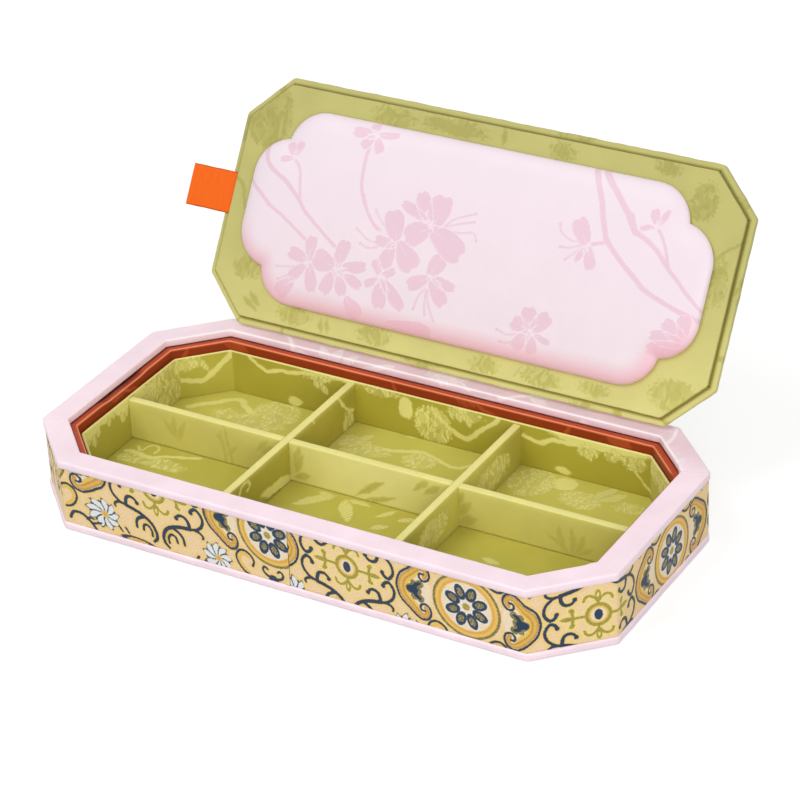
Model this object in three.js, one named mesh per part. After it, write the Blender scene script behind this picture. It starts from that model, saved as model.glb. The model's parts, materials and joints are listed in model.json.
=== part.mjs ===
// Lidded jewelry tray: an elongated octagonal box of cloth-covered board with six compartments
// and a padded drop-in lid, shown open with the lid standing on the rear rim.
// Millimetres, +Z up, +X along the length, front at -Y, origin at the centre of the underside.
import * as THREE from 'three';

// Outline of the box: an octagon whose corners are cut at 45 degrees
const LENGTH = 230;
const DEPTH = 115;
const CORNER_CUT = 22.4;
const CORNER_ARC_STEPS = 3;
const CORNER_SOFTNESS = 1.6;
const CREASE_RADIUS = 0.2;

// Levels, from the underside up
const BASE_TOP = 3.2;
const TRAY_FLOOR_TOP = 4.8;
const DIVIDER_TOP = 21;
const TRAY_WALL_TOP = 21.8;
const LEDGE_LEVEL = 25.3;
const RIM_TOP = 28.2;

// Distances inward from the box outline
const BAND_INSET = 0.5;
const BAND_THICKNESS = 0.4;
const WALL_INSET = 1;
const WALL_THICKNESS = 2;
const RIM_WIDTH = 8.8;
const COLLAR_OUTER_INSET = 8.1;
const COLLAR_INNER_INSET = 11.6;
const TRAY_INSET = 12.2;
const TRAY_WALL_THICKNESS = 1;
const FIT_GAP = 0.1;
// The tray insert sits loose in the collar and is pushed against its rear
const TRAY_SHIFT_BACK = TRAY_INSET - COLLAR_INNER_INSET - FIT_GAP;

// Edges of the cloth-covered boards: quarter-round in shares of the softness, as inward and up
const WRAP_EDGE = [[1, 0], [0.3, 0.3], [0, 1]];
const BASE_EDGE_SOFTNESS = 0.9;
// Outer half of the rim frame's section as pairs of distance in from its side and level
const RIM_EDGE = [
  [0.15, LEDGE_LEVEL],
  [0, LEDGE_LEVEL + 0.3],
  [0, RIM_TOP - 0.8],
  [0.25, RIM_TOP - 0.25],
  [0.8, RIM_TOP - 0.05],
  [1.8, RIM_TOP],
];

// Dividers, cross-lapped by slots of half their height
const DIVIDER_THICKNESS = 3;
const CROSS_DIVIDER_X = 34.5;

// Lid, described as it lies closed inside the rim
const LID_INSET = 10.6;
const LID_BOARD_THICKNESS = 2.4;
const LID_PANEL_INSET = 13.4;
const LID_PANEL_THICKNESS = 1.7;
const GLUE_LINE = 0.2;
const LID_SEAT_GAP = 0.6;
const LID_EDGE_SOFTNESS = 0.7;

// Open stand of the lid: how far it leans back, and where its lower edge stands on the rear rim
const LID_LEAN = 32.5;
const LID_STAND_Y = 54.5;
const LID_STAND_CLEARANCE = 0.3;

// Cushion: a rectangle whose corners are two lobes that meet in a cusp
const CUSHION_HALF_LENGTH = 94;
const CUSHION_HALF_WIDTH = 36.4;
const CUSHION_STEP = 12.2;
const CUSHION_LOBE_SWEEP = 80;
const CUSHION_LOBE_STEPS = 5;
const CUSHION_CARD_INSET = 2.4;
const CUSHION_CARD_THICKNESS = 0.5;
const CUSHION_RECESS_INSET = 2;
const CUSHION_RECESS_DEPTH = 0.8;
// Rounded flank and low crown as pairs of distance in from the outline and height over the panel
const CUSHION_FLANK = [[1, 0], [0.25, 0.3], [0, 0.8], [0.45, 1.5], [1.6, 2], [4.5, 2.3], [9, 2.42]];
const CUSHION_CROWN = 2.5;
const CUSHION_CROWN_SPREAD = 0.55;

// Ribbon: a folded loop that sticks out of the lid's left end
const RIBBON_WIDTH = 16;
const RIBBON_REACH = 16.6;
const RIBBON_THICKNESS = 0.25;
const RIBBON_TAB_THICKNESS = 0.6;
const RIBBON_FOLD_THICKNESS = 1;
const RIBBON_FOLD_LENGTH = 3;
const RIBBON_ROOT_GAP = 0.6;

const FACE_NAMES = ['right', 'back_right', 'back', 'back_left', 'left', 'front_left', 'front', 'front_right'];

const FINISHES = {
  pinkDamask: { color: '#f0d6de', roughness: 0.55, metalness: 0 },
  brocade: { color: '#d8b878', roughness: 0.65, metalness: 0 },
  greyboard: { color: '#a39c90', roughness: 0.9, metalness: 0 },
  rustSatin: { color: '#b4471f', roughness: 0.45, metalness: 0 },
  oliveDamask: { color: '#c0b860', roughness: 0.55, metalness: 0 },
  pinkSatin: { color: '#f6e2ec', roughness: 0.35, metalness: 0 },
  orangeSatin: { color: '#f26a22', roughness: 0.4, metalness: 0 },
};

const radians = THREE.MathUtils.degToRad;

function addPiece(group, name, geometry, finish) {
  const mesh = new THREE.Mesh(geometry, new THREE.MeshStandardMaterial(FINISHES[finish]));
  mesh.name = name;
  group.add(mesh);
  return mesh;
}

// Corner of the octagon that lies `inset` inside the box outline, between face k and face k + 1.
// Face k looks along the angle 45 k degrees; the corner is where the two face lines cross.
function octagonCorner(k, inset) {
  const faceDistance = (face) => {
    const distances = [LENGTH / 2, (LENGTH / 2 + DEPTH / 2 - CORNER_CUT) * Math.SQRT1_2, DEPTH / 2];
    const fold = face % 4;
    return distances[fold === 3 ? 1 : fold] - inset;
  };
  const normal = (face) => new THREE.Vector2(Math.cos(radians(45 * face)), Math.sin(radians(45 * face)));
  const first = normal(k);
  const second = normal(k + 1);
  const cosine = Math.SQRT1_2;
  const weightFirst = (faceDistance(k) - cosine * faceDistance(k + 1)) / (1 - cosine * cosine);
  const weightSecond = (faceDistance(k + 1) - cosine * faceDistance(k)) / (1 - cosine * cosine);
  return first.multiplyScalar(weightFirst).add(second.multiplyScalar(weightSecond));
}

// Octagon at one level with each corner rounded by an arc
function octagonLoop(inset, z, radius) {
  const loop = [];
  for (let k = 0; k < 8; k += 1) {
    const centre = octagonCorner(k, inset + radius);
    for (let step = 0; step <= CORNER_ARC_STEPS; step += 1) {
      const angle = radians(45 * (k + step / CORNER_ARC_STEPS));
      const x = centre.x + radius * Math.cos(angle);
      const y = centre.y + radius * Math.sin(angle);
      loop.push(new THREE.Vector3(x, y, z));
    }
  }
  return loop;
}

// Skin over a row of loops with equal point counts. A row that doesn't come back to its first loop
// is closed at both ends by a fan round the middle of the end loop.
function loft(loops, comesBack) {
  const count = loops[0].length;
  const points = loops.flat();
  const triangles = [];
  const rows = comesBack ? loops.length : loops.length - 1;
  for (let row = 0; row < rows; row += 1) {
    const low = row * count;
    const high = ((row + 1) % loops.length) * count;
    for (let i = 0; i < count; i += 1) {
      const next = (i + 1) % count;
      triangles.push(low + i, low + next, high + next, low + i, high + next, high + i);
    }
  }
  if (!comesBack) {
    const addFan = (start, turned) => {
      const middle = points.length;
      const total = points.slice(start, start + count).reduce((sum, p) => sum.add(p), new THREE.Vector3());
      points.push(total.divideScalar(count));
      for (let i = 0; i < count; i += 1) {
        const next = (i + 1) % count;
        triangles.push(middle, start + (turned ? next : i), start + (turned ? i : next));
      }
    };
    addFan(0, true);
    addFan((loops.length - 1) * count, false);
  }
  const geometry = new THREE.BufferGeometry().setFromPoints(points);
  geometry.setIndex(triangles);
  geometry.computeVertexNormals();
  return geometry;
}

// Octagonal board wrapped in cloth, with its edges softened all round
function wrappedBoard(inset, low, high, softness) {
  const loops = [];
  for (const [inward, up] of WRAP_EDGE) {
    loops.push(octagonLoop(inset + inward * softness, low + up * softness, CORNER_SOFTNESS));
  }
  for (const [inward, up] of [...WRAP_EDGE].reverse()) {
    loops.push(octagonLoop(inset + inward * softness, high - up * softness, CORNER_SOFTNESS));
  }
  return loft(loops, false);
}

// One straight panel of an octagonal wall, mitred to its neighbours
function mitredPanel(face, outerInset, innerInset, low, high) {
  const before = (face + 7) % 8;
  const plan = [
    octagonCorner(before, outerInset),
    octagonCorner(face, outerInset),
    octagonCorner(face, innerInset),
    octagonCorner(before, innerInset),
  ];
  const shape = new THREE.Shape(plan);
  const geometry = new THREE.ExtrudeGeometry(shape, { depth: high - low, bevelEnabled: false });
  return geometry.translate(0, 0, low);
}

function addWallPanels(group, prefix, outerInset, innerInset, low, high, finish) {
  FACE_NAMES.forEach((faceName, face) => {
    addPiece(group, `${prefix}_${faceName}`, mitredPanel(face, outerInset, innerInset, low, high), finish);
  });
}

// Flat frame with soft edges and a slightly crowned top, carried round the octagon
function rimFrame() {
  const innerEdge = RIM_EDGE.map(([inset, z]) => [RIM_WIDTH - inset, z]).reverse();
  return loft([...RIM_EDGE, ...innerEdge].map(([inset, z]) => octagonLoop(inset, z, CORNER_SOFTNESS)), true);
}

// Strip of cloth round the wall, sharp inside where it lies on the mitred panels
function brocadeBand() {
  const low = BASE_TOP + FIT_GAP;
  const high = LEDGE_LEVEL - FIT_GAP;
  const inside = BAND_INSET + BAND_THICKNESS;
  return loft([
    octagonLoop(BAND_INSET, low, CORNER_SOFTNESS),
    octagonLoop(BAND_INSET, high, CORNER_SOFTNESS),
    octagonLoop(inside, high, CREASE_RADIUS),
    octagonLoop(inside, low, CREASE_RADIUS),
  ], true);
}

// Upright board cut to `outline` (points along the board and up) and centred on its thickness
function uprightBoard(outline, thickness) {
  const shape = new THREE.Shape(outline.map(([along, up]) => new THREE.Vector2(along, up)));
  const geometry = new THREE.ExtrudeGeometry(shape, { depth: thickness, bevelEnabled: false });
  return geometry.rotateX(Math.PI / 2).translate(0, thickness / 2, 0);
}

// Divider outline with half-height slots for the boards that cross it
function dividerOutline(halfLength, slotPositions, slotsFromTop) {
  const halfSlot = DIVIDER_THICKNESS / 2 + FIT_GAP;
  const middle = (TRAY_FLOOR_TOP + DIVIDER_TOP) / 2;
  const slotEnd = slotsFromTop ? middle - FIT_GAP : middle + FIT_GAP;
  const slottedLevel = slotsFromTop ? DIVIDER_TOP : TRAY_FLOOR_TOP;
  const plainLevel = slotsFromTop ? TRAY_FLOOR_TOP : DIVIDER_TOP;
  const outline = [[-halfLength, slottedLevel]];
  for (const at of slotPositions) {
    outline.push([at - halfSlot, slottedLevel], [at - halfSlot, slotEnd]);
    outline.push([at + halfSlot, slotEnd], [at + halfSlot, slottedLevel]);
  }
  outline.push([halfLength, slottedLevel], [halfLength, plainLevel], [-halfLength, plainLevel]);
  return outline;
}

// Lobed cushion outline, `inset` inside its edge. Each corner is an arc that leaves the side, a cusp
// that points in, and an arc that runs into the long edge.
function cushionLoop(inset, z) {
  const sweep = radians(CUSHION_LOBE_SWEEP);
  const radius = CUSHION_STEP / (1 - Math.cos(sweep));
  const cusp = new THREE.Vector2(CUSHION_HALF_LENGTH - CUSHION_STEP, CUSHION_HALF_WIDTH - CUSHION_STEP);
  const sideLobe = new THREE.Vector2(CUSHION_HALF_LENGTH - radius, cusp.y - radius * Math.sin(sweep));
  const edgeLobe = new THREE.Vector2(cusp.x - radius * Math.sin(sweep), CUSHION_HALF_WIDTH - radius);
  const quarter = [];
  const addArcPoint = (centre, angle) => quarter.push(new THREE.Vector2(
    centre.x + (radius - inset) * Math.cos(angle),
    centre.y + (radius - inset) * Math.sin(angle),
  ));
  for (let step = 0; step < CUSHION_LOBE_STEPS; step += 1) {
    addArcPoint(sideLobe, sweep * step / CUSHION_LOBE_STEPS);
  }
  quarter.push(new THREE.Vector2(cusp.x - inset * Math.SQRT1_2, cusp.y - inset * Math.SQRT1_2));
  for (let step = 1; step <= CUSHION_LOBE_STEPS; step += 1) {
    addArcPoint(edgeLobe, Math.PI / 2 - sweep * (1 - step / CUSHION_LOBE_STEPS));
  }
  const edgeY = CUSHION_HALF_WIDTH - inset;
  const longEdge = [2 / 3, 1 / 3, 0].map((part) => new THREE.Vector2(edgeLobe.x * part, edgeY));
  const quadrants = [
    [...quarter, ...longEdge],
    [...quarter, ...longEdge.slice(0, 2)].reverse().map((p) => new THREE.Vector2(-p.x, p.y)),
  ];
  const upper = quadrants.flat();
  const lower = upper.map((p) => new THREE.Vector2(-p.x, -p.y));
  return [...upper, ...lower].map((p) => new THREE.Vector3(p.x, p.y, z));
}

// Padded cushion as it hangs under the closed lid: flank and crown point down, and a shallow recess
// in its flat back takes the card
function cushion(back) {
  const flank = [...CUSHION_FLANK].reverse().map(([inset, height]) => cushionLoop(inset, back - height));
  const spread = CUSHION_CROWN_SPREAD;
  const crownRing = flank[0].map((p) => new THREE.Vector3(p.x * spread, p.y * spread, back - CUSHION_CROWN));
  const recess = [
    cushionLoop(CUSHION_RECESS_INSET, back),
    cushionLoop(CUSHION_RECESS_INSET, back - CUSHION_RECESS_DEPTH),
  ];
  return loft([crownRing, ...flank, ...recess], false);
}

// Ribbon tab as it lies in the plane of the closed lid: flat loop that thickens into its fold
function ribbonTab(rootX, level) {
  const half = RIBBON_TAB_THICKNESS / 2;
  const foldRadius = RIBBON_FOLD_THICKNESS / 2;
  const tip = rootX - RIBBON_REACH;
  const shape = new THREE.Shape();
  shape.moveTo(rootX, level - half);
  shape.lineTo(rootX, level + half);
  shape.lineTo(tip + RIBBON_FOLD_LENGTH, level + half);
  shape.lineTo(tip + foldRadius, level + foldRadius);
  shape.absarc(tip + foldRadius, level, foldRadius, Math.PI / 2, 1.5 * Math.PI, false);
  shape.lineTo(tip + RIBBON_FOLD_LENGTH, level - half);
  const settings = { depth: RIBBON_WIDTH, bevelEnabled: false, curveSegments: 6 };
  const geometry = new THREE.ExtrudeGeometry(shape, settings);
  return geometry.rotateX(Math.PI / 2).translate(0, RIBBON_WIDTH / 2, 0);
}

// Flat end of the ribbon on the lid board's border
function ribbonRoot(outerX, innerX, level) {
  const geometry = new THREE.BoxGeometry(innerX - outerX, RIBBON_WIDTH, RIBBON_THICKNESS);
  return geometry.translate((outerX + innerX) / 2, 0, level);
}

// Line about which the lid swings from its open stand into the rim. The lower rear edge of the lid's
// outer face goes from `standing` to `seated`; the line lies on the perpendicular bisector of the two.
function swingLine(standing, seated, swing) {
  const middle = standing.clone().add(seated).multiplyScalar(0.5);
  const half = standing.clone().sub(seated).multiplyScalar(0.5);
  const across = new THREE.Vector2(half.y, -half.x).divideScalar(Math.tan(swing / 2));
  return middle.add(across);
}

function buildBox(tray) {
  addPiece(tray, 'base_board', wrappedBoard(0, 0, BASE_TOP, BASE_EDGE_SOFTNESS), 'pinkDamask');
  addWallPanels(tray, 'wall', WALL_INSET, WALL_INSET + WALL_THICKNESS, BASE_TOP, LEDGE_LEVEL, 'greyboard');
  addPiece(tray, 'brocade_band', brocadeBand(), 'brocade');
  addPiece(tray, 'rim_frame', rimFrame(), 'pinkDamask');
  addWallPanels(tray, 'collar', COLLAR_OUTER_INSET, COLLAR_INNER_INSET, BASE_TOP, LEDGE_LEVEL, 'rustSatin');
}

function buildInsert(tray) {
  const insert = new THREE.Group();
  insert.position.y = TRAY_SHIFT_BACK;
  tray.add(insert);
  const inner = TRAY_INSET + TRAY_WALL_THICKNESS;
  const floorLevels = [BASE_TOP, TRAY_FLOOR_TOP];
  const floor = loft(floorLevels.map((z) => octagonLoop(TRAY_INSET, z, CREASE_RADIUS)), false);
  addPiece(insert, 'tray_floor', floor, 'oliveDamask');
  addWallPanels(insert, 'tray_wall', TRAY_INSET, inner, TRAY_FLOOR_TOP, TRAY_WALL_TOP, 'oliveDamask');
  const longOutline = dividerOutline(LENGTH / 2 - inner - FIT_GAP, [-CROSS_DIVIDER_X, CROSS_DIVIDER_X], true);
  addPiece(insert, 'long_divider', uprightBoard(longOutline, DIVIDER_THICKNESS), 'oliveDamask');
  for (const [side, x] of [['left', -CROSS_DIVIDER_X], ['right', CROSS_DIVIDER_X]]) {
    const outline = dividerOutline(DEPTH / 2 - inner - FIT_GAP, [0], false);
    const board = uprightBoard(outline, DIVIDER_THICKNESS);
    const divider = addPiece(insert, `cross_divider_${side}`, board, 'oliveDamask');
    divider.rotation.z = Math.PI / 2;
    divider.position.x = x;
  }
}

function buildLid(tray) {
  const boardInner = LEDGE_LEVEL + LID_SEAT_GAP;
  const boardOuter = boardInner + LID_BOARD_THICKNESS;
  const panelBack = boardInner - GLUE_LINE;
  const panelFace = panelBack - LID_PANEL_THICKNESS;
  const cushionBack = panelFace - GLUE_LINE;
  const edgeX = -(LENGTH / 2 - LID_INSET);
  const panelEdgeX = -(LENGTH / 2 - LID_PANEL_INSET);
  const ribbonLevel = boardInner - GLUE_LINE - RIBBON_THICKNESS / 2;

  const swing = radians(90 + LID_LEAN);
  const standing = new THREE.Vector2(LID_STAND_Y, RIM_TOP + LID_STAND_CLEARANCE);
  const seated = new THREE.Vector2(DEPTH / 2 - LID_INSET, boardOuter);
  const pivot = swingLine(standing, seated, swing);

  const lid = new THREE.Group();
  lid.position.set(0, pivot.x, pivot.y);
  lid.rotation.x = -swing;
  tray.add(lid);
  const closedLid = new THREE.Group();
  closedLid.position.set(0, -pivot.x, -pivot.y);
  lid.add(closedLid);

  const board = wrappedBoard(LID_INSET, boardInner, boardOuter, LID_EDGE_SOFTNESS);
  addPiece(closedLid, 'lid_board', board, 'oliveDamask');
  const panel = wrappedBoard(LID_PANEL_INSET, panelFace, panelBack, LID_EDGE_SOFTNESS);
  addPiece(closedLid, 'lid_panel', panel, 'oliveDamask');
  addPiece(closedLid, 'lid_cushion', cushion(cushionBack), 'pinkSatin');
  const card = loft([
    cushionLoop(CUSHION_CARD_INSET, cushionBack - CUSHION_CARD_THICKNESS),
    cushionLoop(CUSHION_CARD_INSET, cushionBack),
  ], false);
  addPiece(closedLid, 'cushion_card', card, 'greyboard');
  const root = ribbonRoot(edgeX, panelEdgeX - GLUE_LINE, ribbonLevel);
  addPiece(closedLid, 'ribbon_root', root, 'orangeSatin');
  addPiece(closedLid, 'ribbon_tab', ribbonTab(edgeX - RIBBON_ROOT_GAP, ribbonLevel), 'orangeSatin');
}

const jewelryTray = new THREE.Group();
buildBox(jewelryTray);
buildInsert(jewelryTray);
buildLid(jewelryTray);

export default jewelryTray;
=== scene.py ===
"""Looks of a lidded jewelry tray: boards wrapped in damask, a brocade band, a satin collar,
a padded lid and a ribbon pull.

Shapes are worked out in millimetres as whole numpy arrays and become metres when a mesh is made.
The lid's pieces are worked out with the lid closed and then turned to its open stand.
"""
import json
import bpy
import numpy as np
from mathutils import Matrix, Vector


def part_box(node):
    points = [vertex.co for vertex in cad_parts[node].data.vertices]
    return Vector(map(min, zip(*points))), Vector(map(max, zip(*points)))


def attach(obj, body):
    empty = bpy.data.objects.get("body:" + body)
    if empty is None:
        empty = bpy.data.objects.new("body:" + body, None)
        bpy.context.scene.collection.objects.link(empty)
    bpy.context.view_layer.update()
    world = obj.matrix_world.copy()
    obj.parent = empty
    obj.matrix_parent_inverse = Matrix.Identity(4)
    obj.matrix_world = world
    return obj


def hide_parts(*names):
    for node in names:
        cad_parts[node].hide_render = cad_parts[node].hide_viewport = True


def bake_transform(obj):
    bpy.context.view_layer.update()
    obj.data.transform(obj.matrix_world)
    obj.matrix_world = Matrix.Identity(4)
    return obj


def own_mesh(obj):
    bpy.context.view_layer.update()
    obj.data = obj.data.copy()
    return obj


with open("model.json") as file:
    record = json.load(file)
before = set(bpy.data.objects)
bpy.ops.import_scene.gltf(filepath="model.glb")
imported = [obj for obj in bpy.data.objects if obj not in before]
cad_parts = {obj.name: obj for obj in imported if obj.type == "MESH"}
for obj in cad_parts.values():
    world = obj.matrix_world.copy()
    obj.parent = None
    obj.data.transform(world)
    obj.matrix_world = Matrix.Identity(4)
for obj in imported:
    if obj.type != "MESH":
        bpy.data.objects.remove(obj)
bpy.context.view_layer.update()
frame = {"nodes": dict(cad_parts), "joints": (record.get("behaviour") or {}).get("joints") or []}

MM = 0.001


def span(node):
    """Lowest and highest corner of a CAD node, in millimetres."""
    low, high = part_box(node)
    return np.array(low) / MM, np.array(high) / MM


# Sizes read from the frame, in millimetres.
BASE_LOW, BASE_HIGH = span("base_board")
LENGTH, DEPTH, BASE_TOP = BASE_HIGH - BASE_LOW
LEDGE = span("rim_frame")[0][2]
RIM_TOP = span("rim_frame")[1][2]
TRAY_FLOOR_TOP = span("tray_floor")[1][2]
TRAY_WALL_TOP = span("tray_wall_front")[1][2]
DIVIDER_TOP = span("long_divider")[1][2]
DIVIDER_LENGTH = span("long_divider")[1][0] - span("long_divider")[0][0]
CROSS_DIVIDER_LENGTH = span("cross_divider_left")[1][1] - span("cross_divider_left")[0][1]
CROSS_DIVIDER_X = np.mean(span("cross_divider_right"), axis=0)[0]
DIVIDER_THICKNESS = span("long_divider")[1][1] - span("long_divider")[0][1]
INSERT_MIDDLE = np.array([0, np.mean(span("tray_floor"), axis=0)[1], 0])

# Insets from the outline and other driving sizes, in millimetres.
CORNER_CUT = 22.4
CORNER_RADIUS = 1.6
BASE_SOFTNESS = 0.9
BAND_INSET = 0.5
BAND_TURN_IN = 0.45
RIM_WIDTH = 8.8
COLLAR = (8.3, 11.6)
TRAY_WALL = (12.2, 13.2)
TRAY_FIT = 13.3
DIVIDER_SOFTNESS = 0.5
SLOT_GAP = 0.1
LID_INSET = 10.6
LID_PANEL_INSET = 13.4
LID_BOARD_SOFTNESS = 0.7
LID_PANEL_SOFTNESS = 0.4
LID_BOARD = (LEDGE + 0.6, LEDGE + 3.0)
LID_PANEL = (LID_BOARD[0] - 1.9, LID_BOARD[0] - 0.2)
CUSHION_BACK = LID_PANEL[0] - 0.2
CUSHION_HALF = (94.0, 36.4)
CUSHION_STEP = 12.2
CUSHION_CROWN = 4.4
LOBE_SWEEP = np.radians(80)
RIBBON_WIDTH = 16.0
RIBBON_REACH = 16.6

# The brocade's repeat: half of it runs from a medallion to a cross.
BROCADE_HALF = 47.0
BROCADE_ROW = 26.0

joints = {joint["name"]: joint for joint in frame["joints"]}
SWING = np.radians(joints["lid_swing"]["range_deg"][1])
PIVOT = np.array(joints["lid_swing"]["pos_m"]) / MM


def open_lid(points):
    """Turns points of the closed lid about the swing line, back by the whole swing."""
    y, z = points[..., 1] - PIVOT[1], points[..., 2] - PIVOT[2]
    c, s = np.cos(SWING), np.sin(SWING)
    return np.stack([points[..., 0], PIVOT[1] + c * y + s * z, PIVOT[2] - s * y + c * z], -1)


# Surfaces.

ARC_STEPS = 8
FACE_ANGLE = np.radians(45) * np.arange(9)
FACE_NAMES = ("right", "back_right", "back", "back_left", "left", "front_left", "front", "front_right")
CHAMFER_REACH = (LENGTH / 2 + DEPTH / 2 - CORNER_CUT) * np.sqrt(0.5)
FACE_REACH = np.array([LENGTH / 2, CHAMFER_REACH, DEPTH / 2, CHAMFER_REACH] * 2)


def unit(angle):
    """Unit vectors in the plan, one for each angle."""
    return np.stack([np.cos(angle), np.sin(angle)], -1)


def octagon_corners(inset):
    """Corner k is where face lines k and k + 1, at 45 degrees to each other, cross. Face k looks
    along 45 k degrees, and all are moved in by the inset."""
    reach = FACE_REACH - inset
    onward = np.roll(reach, -1)
    c = np.sqrt(0.5)
    along = (reach - c * onward)[:, None] * unit(FACE_ANGLE[:8])
    return 2 * (along + (onward - c * reach)[:, None] * unit(FACE_ANGLE[1:]))


def octagon_parts(inset, radius, runs):
    """For each corner an arc about the point where its faces, moved in by the radius, cross, and
    then runs[k] even steps along the straight that follows it."""
    centres = octagon_corners(inset + radius)
    turn = np.radians(45) * np.linspace(0, 1, ARC_STEPS + 1)
    parts = []
    for k in range(8):
        arc = centres[k] + radius * unit(FACE_ANGLE[k] + turn)
        onward = centres[(k + 1) % 8] + radius * unit(FACE_ANGLE[k + 1])
        share = np.arange(1, runs[k])[:, None] / runs[k]
        parts.append((arc, arc[-1] + share * (onward - arc[-1])))
    return parts


def run_steps(inset, radius, pitch):
    """How many steps of about the pitch each straight of a rounded octagon takes."""
    centres = octagon_corners(inset + radius)
    length = np.linalg.norm(np.roll(centres, -1, 0) - centres, axis=1)
    return np.maximum(1, np.round(length / pitch)).astype(int)


def octagon_loop(inset, radius, runs):
    """Rounded octagon as one closed row of points, counter-clockwise from the right-hand face."""
    return np.concatenate([p for pair in octagon_parts(inset, radius, runs) for p in pair])


def travelled(line):
    """Distance walked along a row of points, from its first."""
    return np.concatenate([[0], np.cumsum(np.linalg.norm(np.diff(line, axis=0), axis=1))])


def row(first, second):
    """Row of points from their first and second coordinates, of which one may be the same for all."""
    return np.stack(np.broadcast_arrays(first, second), -1)


def lifted_to(plan, levels):
    """Rows of plan points, each row lifted to its own level."""
    return np.concatenate([plan, np.broadcast_to(levels[:, None, None], plan.shape[:2] + (1,))], -1)


def carry_round(section, radius, pitch):
    """Carries a section of (inset, level) points round the octagon: one loop for each point. Also
    gives the cloth's own coordinates: the way round, and the way across the section."""
    section = np.asarray(section, float)
    runs = run_steps(section[:, 0].min(), radius, pitch)
    loops = np.stack([octagon_loop(inset, radius, runs) for inset in section[:, 0]])
    middle = octagon_loop(section[:, 0].mean(), radius, runs)
    return lifted_to(loops, section[:, 1]), row(travelled(middle), travelled(section)[:, None])


def on_face(points, face, inset, slack=0.7):
    """Which points lie on the octagon face of that number at an inset, and how far along it they are
    from its left end as seen from inside the tray."""
    outward, along = unit(FACE_ANGLE[face]), unit(FACE_ANGLE[face] - np.pi / 2)
    corner = octagon_corners(inset)[face]
    on_it = points[:, :2] @ outward > FACE_REACH[face] - inset - slack
    return on_it, (points[:, :2] - corner) @ along


def grid_quads(rows, cols, close_rows=False, close_cols=False):
    """Four-cornered faces between neighbours of a grid, if asked also from its last row or column
    back to its first."""
    number = np.arange(rows * cols).reshape(rows, cols)
    if close_rows:
        number = np.concatenate([number, number[:1]])
    if close_cols:
        number = np.concatenate([number, number[:, :1]], 1)
    faces = [number[:-1, :-1], number[:-1, 1:], number[1:, 1:], number[1:, :-1]]
    return np.stack(faces, -1).reshape(-1, 4)


def border_loop(rows, cols):
    """Numbers of a grid's border points, counter-clockwise."""
    number = np.arange(rows * cols).reshape(rows, cols)
    return np.concatenate([number[0, :-1], number[:-1, -1], number[-1, :0:-1], number[:0:-1, 0]])


def skirt_quads(number):
    """Faces between closed rings of points, given by their numbers, one ring to a row."""
    number = np.concatenate([number, number[:, :1]], 1)
    return np.stack([number[:-1, :-1], number[1:, :-1], number[1:, 1:], number[:-1, 1:]], -1).reshape(-1, 4)


def loop_normals(loop):
    """Outward directions of a counter-clockwise loop: its steps turned a quarter clockwise."""
    step = np.roll(loop, -1, 0) - np.roll(loop, 1, 0)
    normal = np.stack([step[:, 1], -step[:, 0]], -1)
    return normal / np.linalg.norm(normal, axis=1, keepdims=True)


def octagon_rows(inset, radius, pitch):
    """Grid over a rounded octagon: its right-hand outline gives each row's y and half width, and
    even steps cross the row."""
    parts = octagon_parts(inset, radius, run_steps(inset, radius, pitch))
    outline = np.concatenate([*parts[6], *parts[7], *parts[0], parts[1][0]])
    share = np.linspace(-1, 1, int(np.ceil(2 * outline[:, 0].max() / pitch)) + 1)
    return row(outline[:, :1] * share, outline[:, 1:])


def wrapped_board(inset, back, face, softness, pitch, back_band=4.0):
    """Cloth round a board: a grid over its face, a quarter-round down each edge (out by the sine of
    the turn, down by one less its cosine), a band of its back, and one face that closes the back."""
    rows = octagon_rows(inset + softness, CORNER_RADIUS, pitch)
    count = rows.shape[:2]
    flat = rows.reshape(-1, 2)
    edge = border_loop(*count)
    outward = loop_normals(flat[edge])
    thick = abs(face - back)
    up = np.sign(face - back)
    turn = np.radians(90) * np.linspace(0, 1, 6)
    rise = np.linspace(0, back_band, int(back_band / pitch) + 1)[1:]
    out = np.concatenate([softness * np.sin(turn), softness * np.sin(turn[::-1]), -rise])
    drop = np.concatenate([softness * (1 - np.cos(turn)), thick - softness * (1 - np.cos(turn[::-1])),
                           np.full(len(rise), thick)])
    wander = hand_wrapped(travelled(flat[edge]))
    way = travelled(row(out, drop))
    shape = out[:, None] + wander * (softness * np.sin(np.pi * drop / thick))[:, None] * 0.3
    rings = lifted_to(flat[edge] + outward * shape[..., None], face - up * drop)
    points = np.concatenate([np.column_stack([flat, np.full(len(flat), face)]), rings[1:].reshape(-1, 3)])
    cloth = np.concatenate([flat, (flat[edge] + outward * way[:, None, None])[1:].reshape(-1, 2)])
    ring_number = len(flat) + np.arange(len(edge) * (len(out) - 1)).reshape(-1, len(edge))
    sides = skirt_quads(np.concatenate([edge[None], ring_number]))
    return points, np.concatenate([grid_quads(*count), sides]), cloth, [ring_number[-1][::-1]]


def hand_wrapped(way):
    """Small unevenness of a cloth edge pulled round by hand: four waves of unrelated lengths."""
    lengths, starts = np.array([37.0, 17.3, 9.1, 5.3]), np.array([0.4, 1.9, 3.3, 5.0])
    waves = np.sin(2 * np.pi * np.asarray(way)[..., None] / lengths + starts)
    return waves @ np.array([0.3, 0.3, 0.25, 0.15])


def ease(value, start, end):
    """Smooth step from nought at the start to one at the end: t squared times (3 - 2 t)."""
    t = np.clip((value - start) / (end - start), 0, 1)
    return t * t * (3 - 2 * t)


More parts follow.
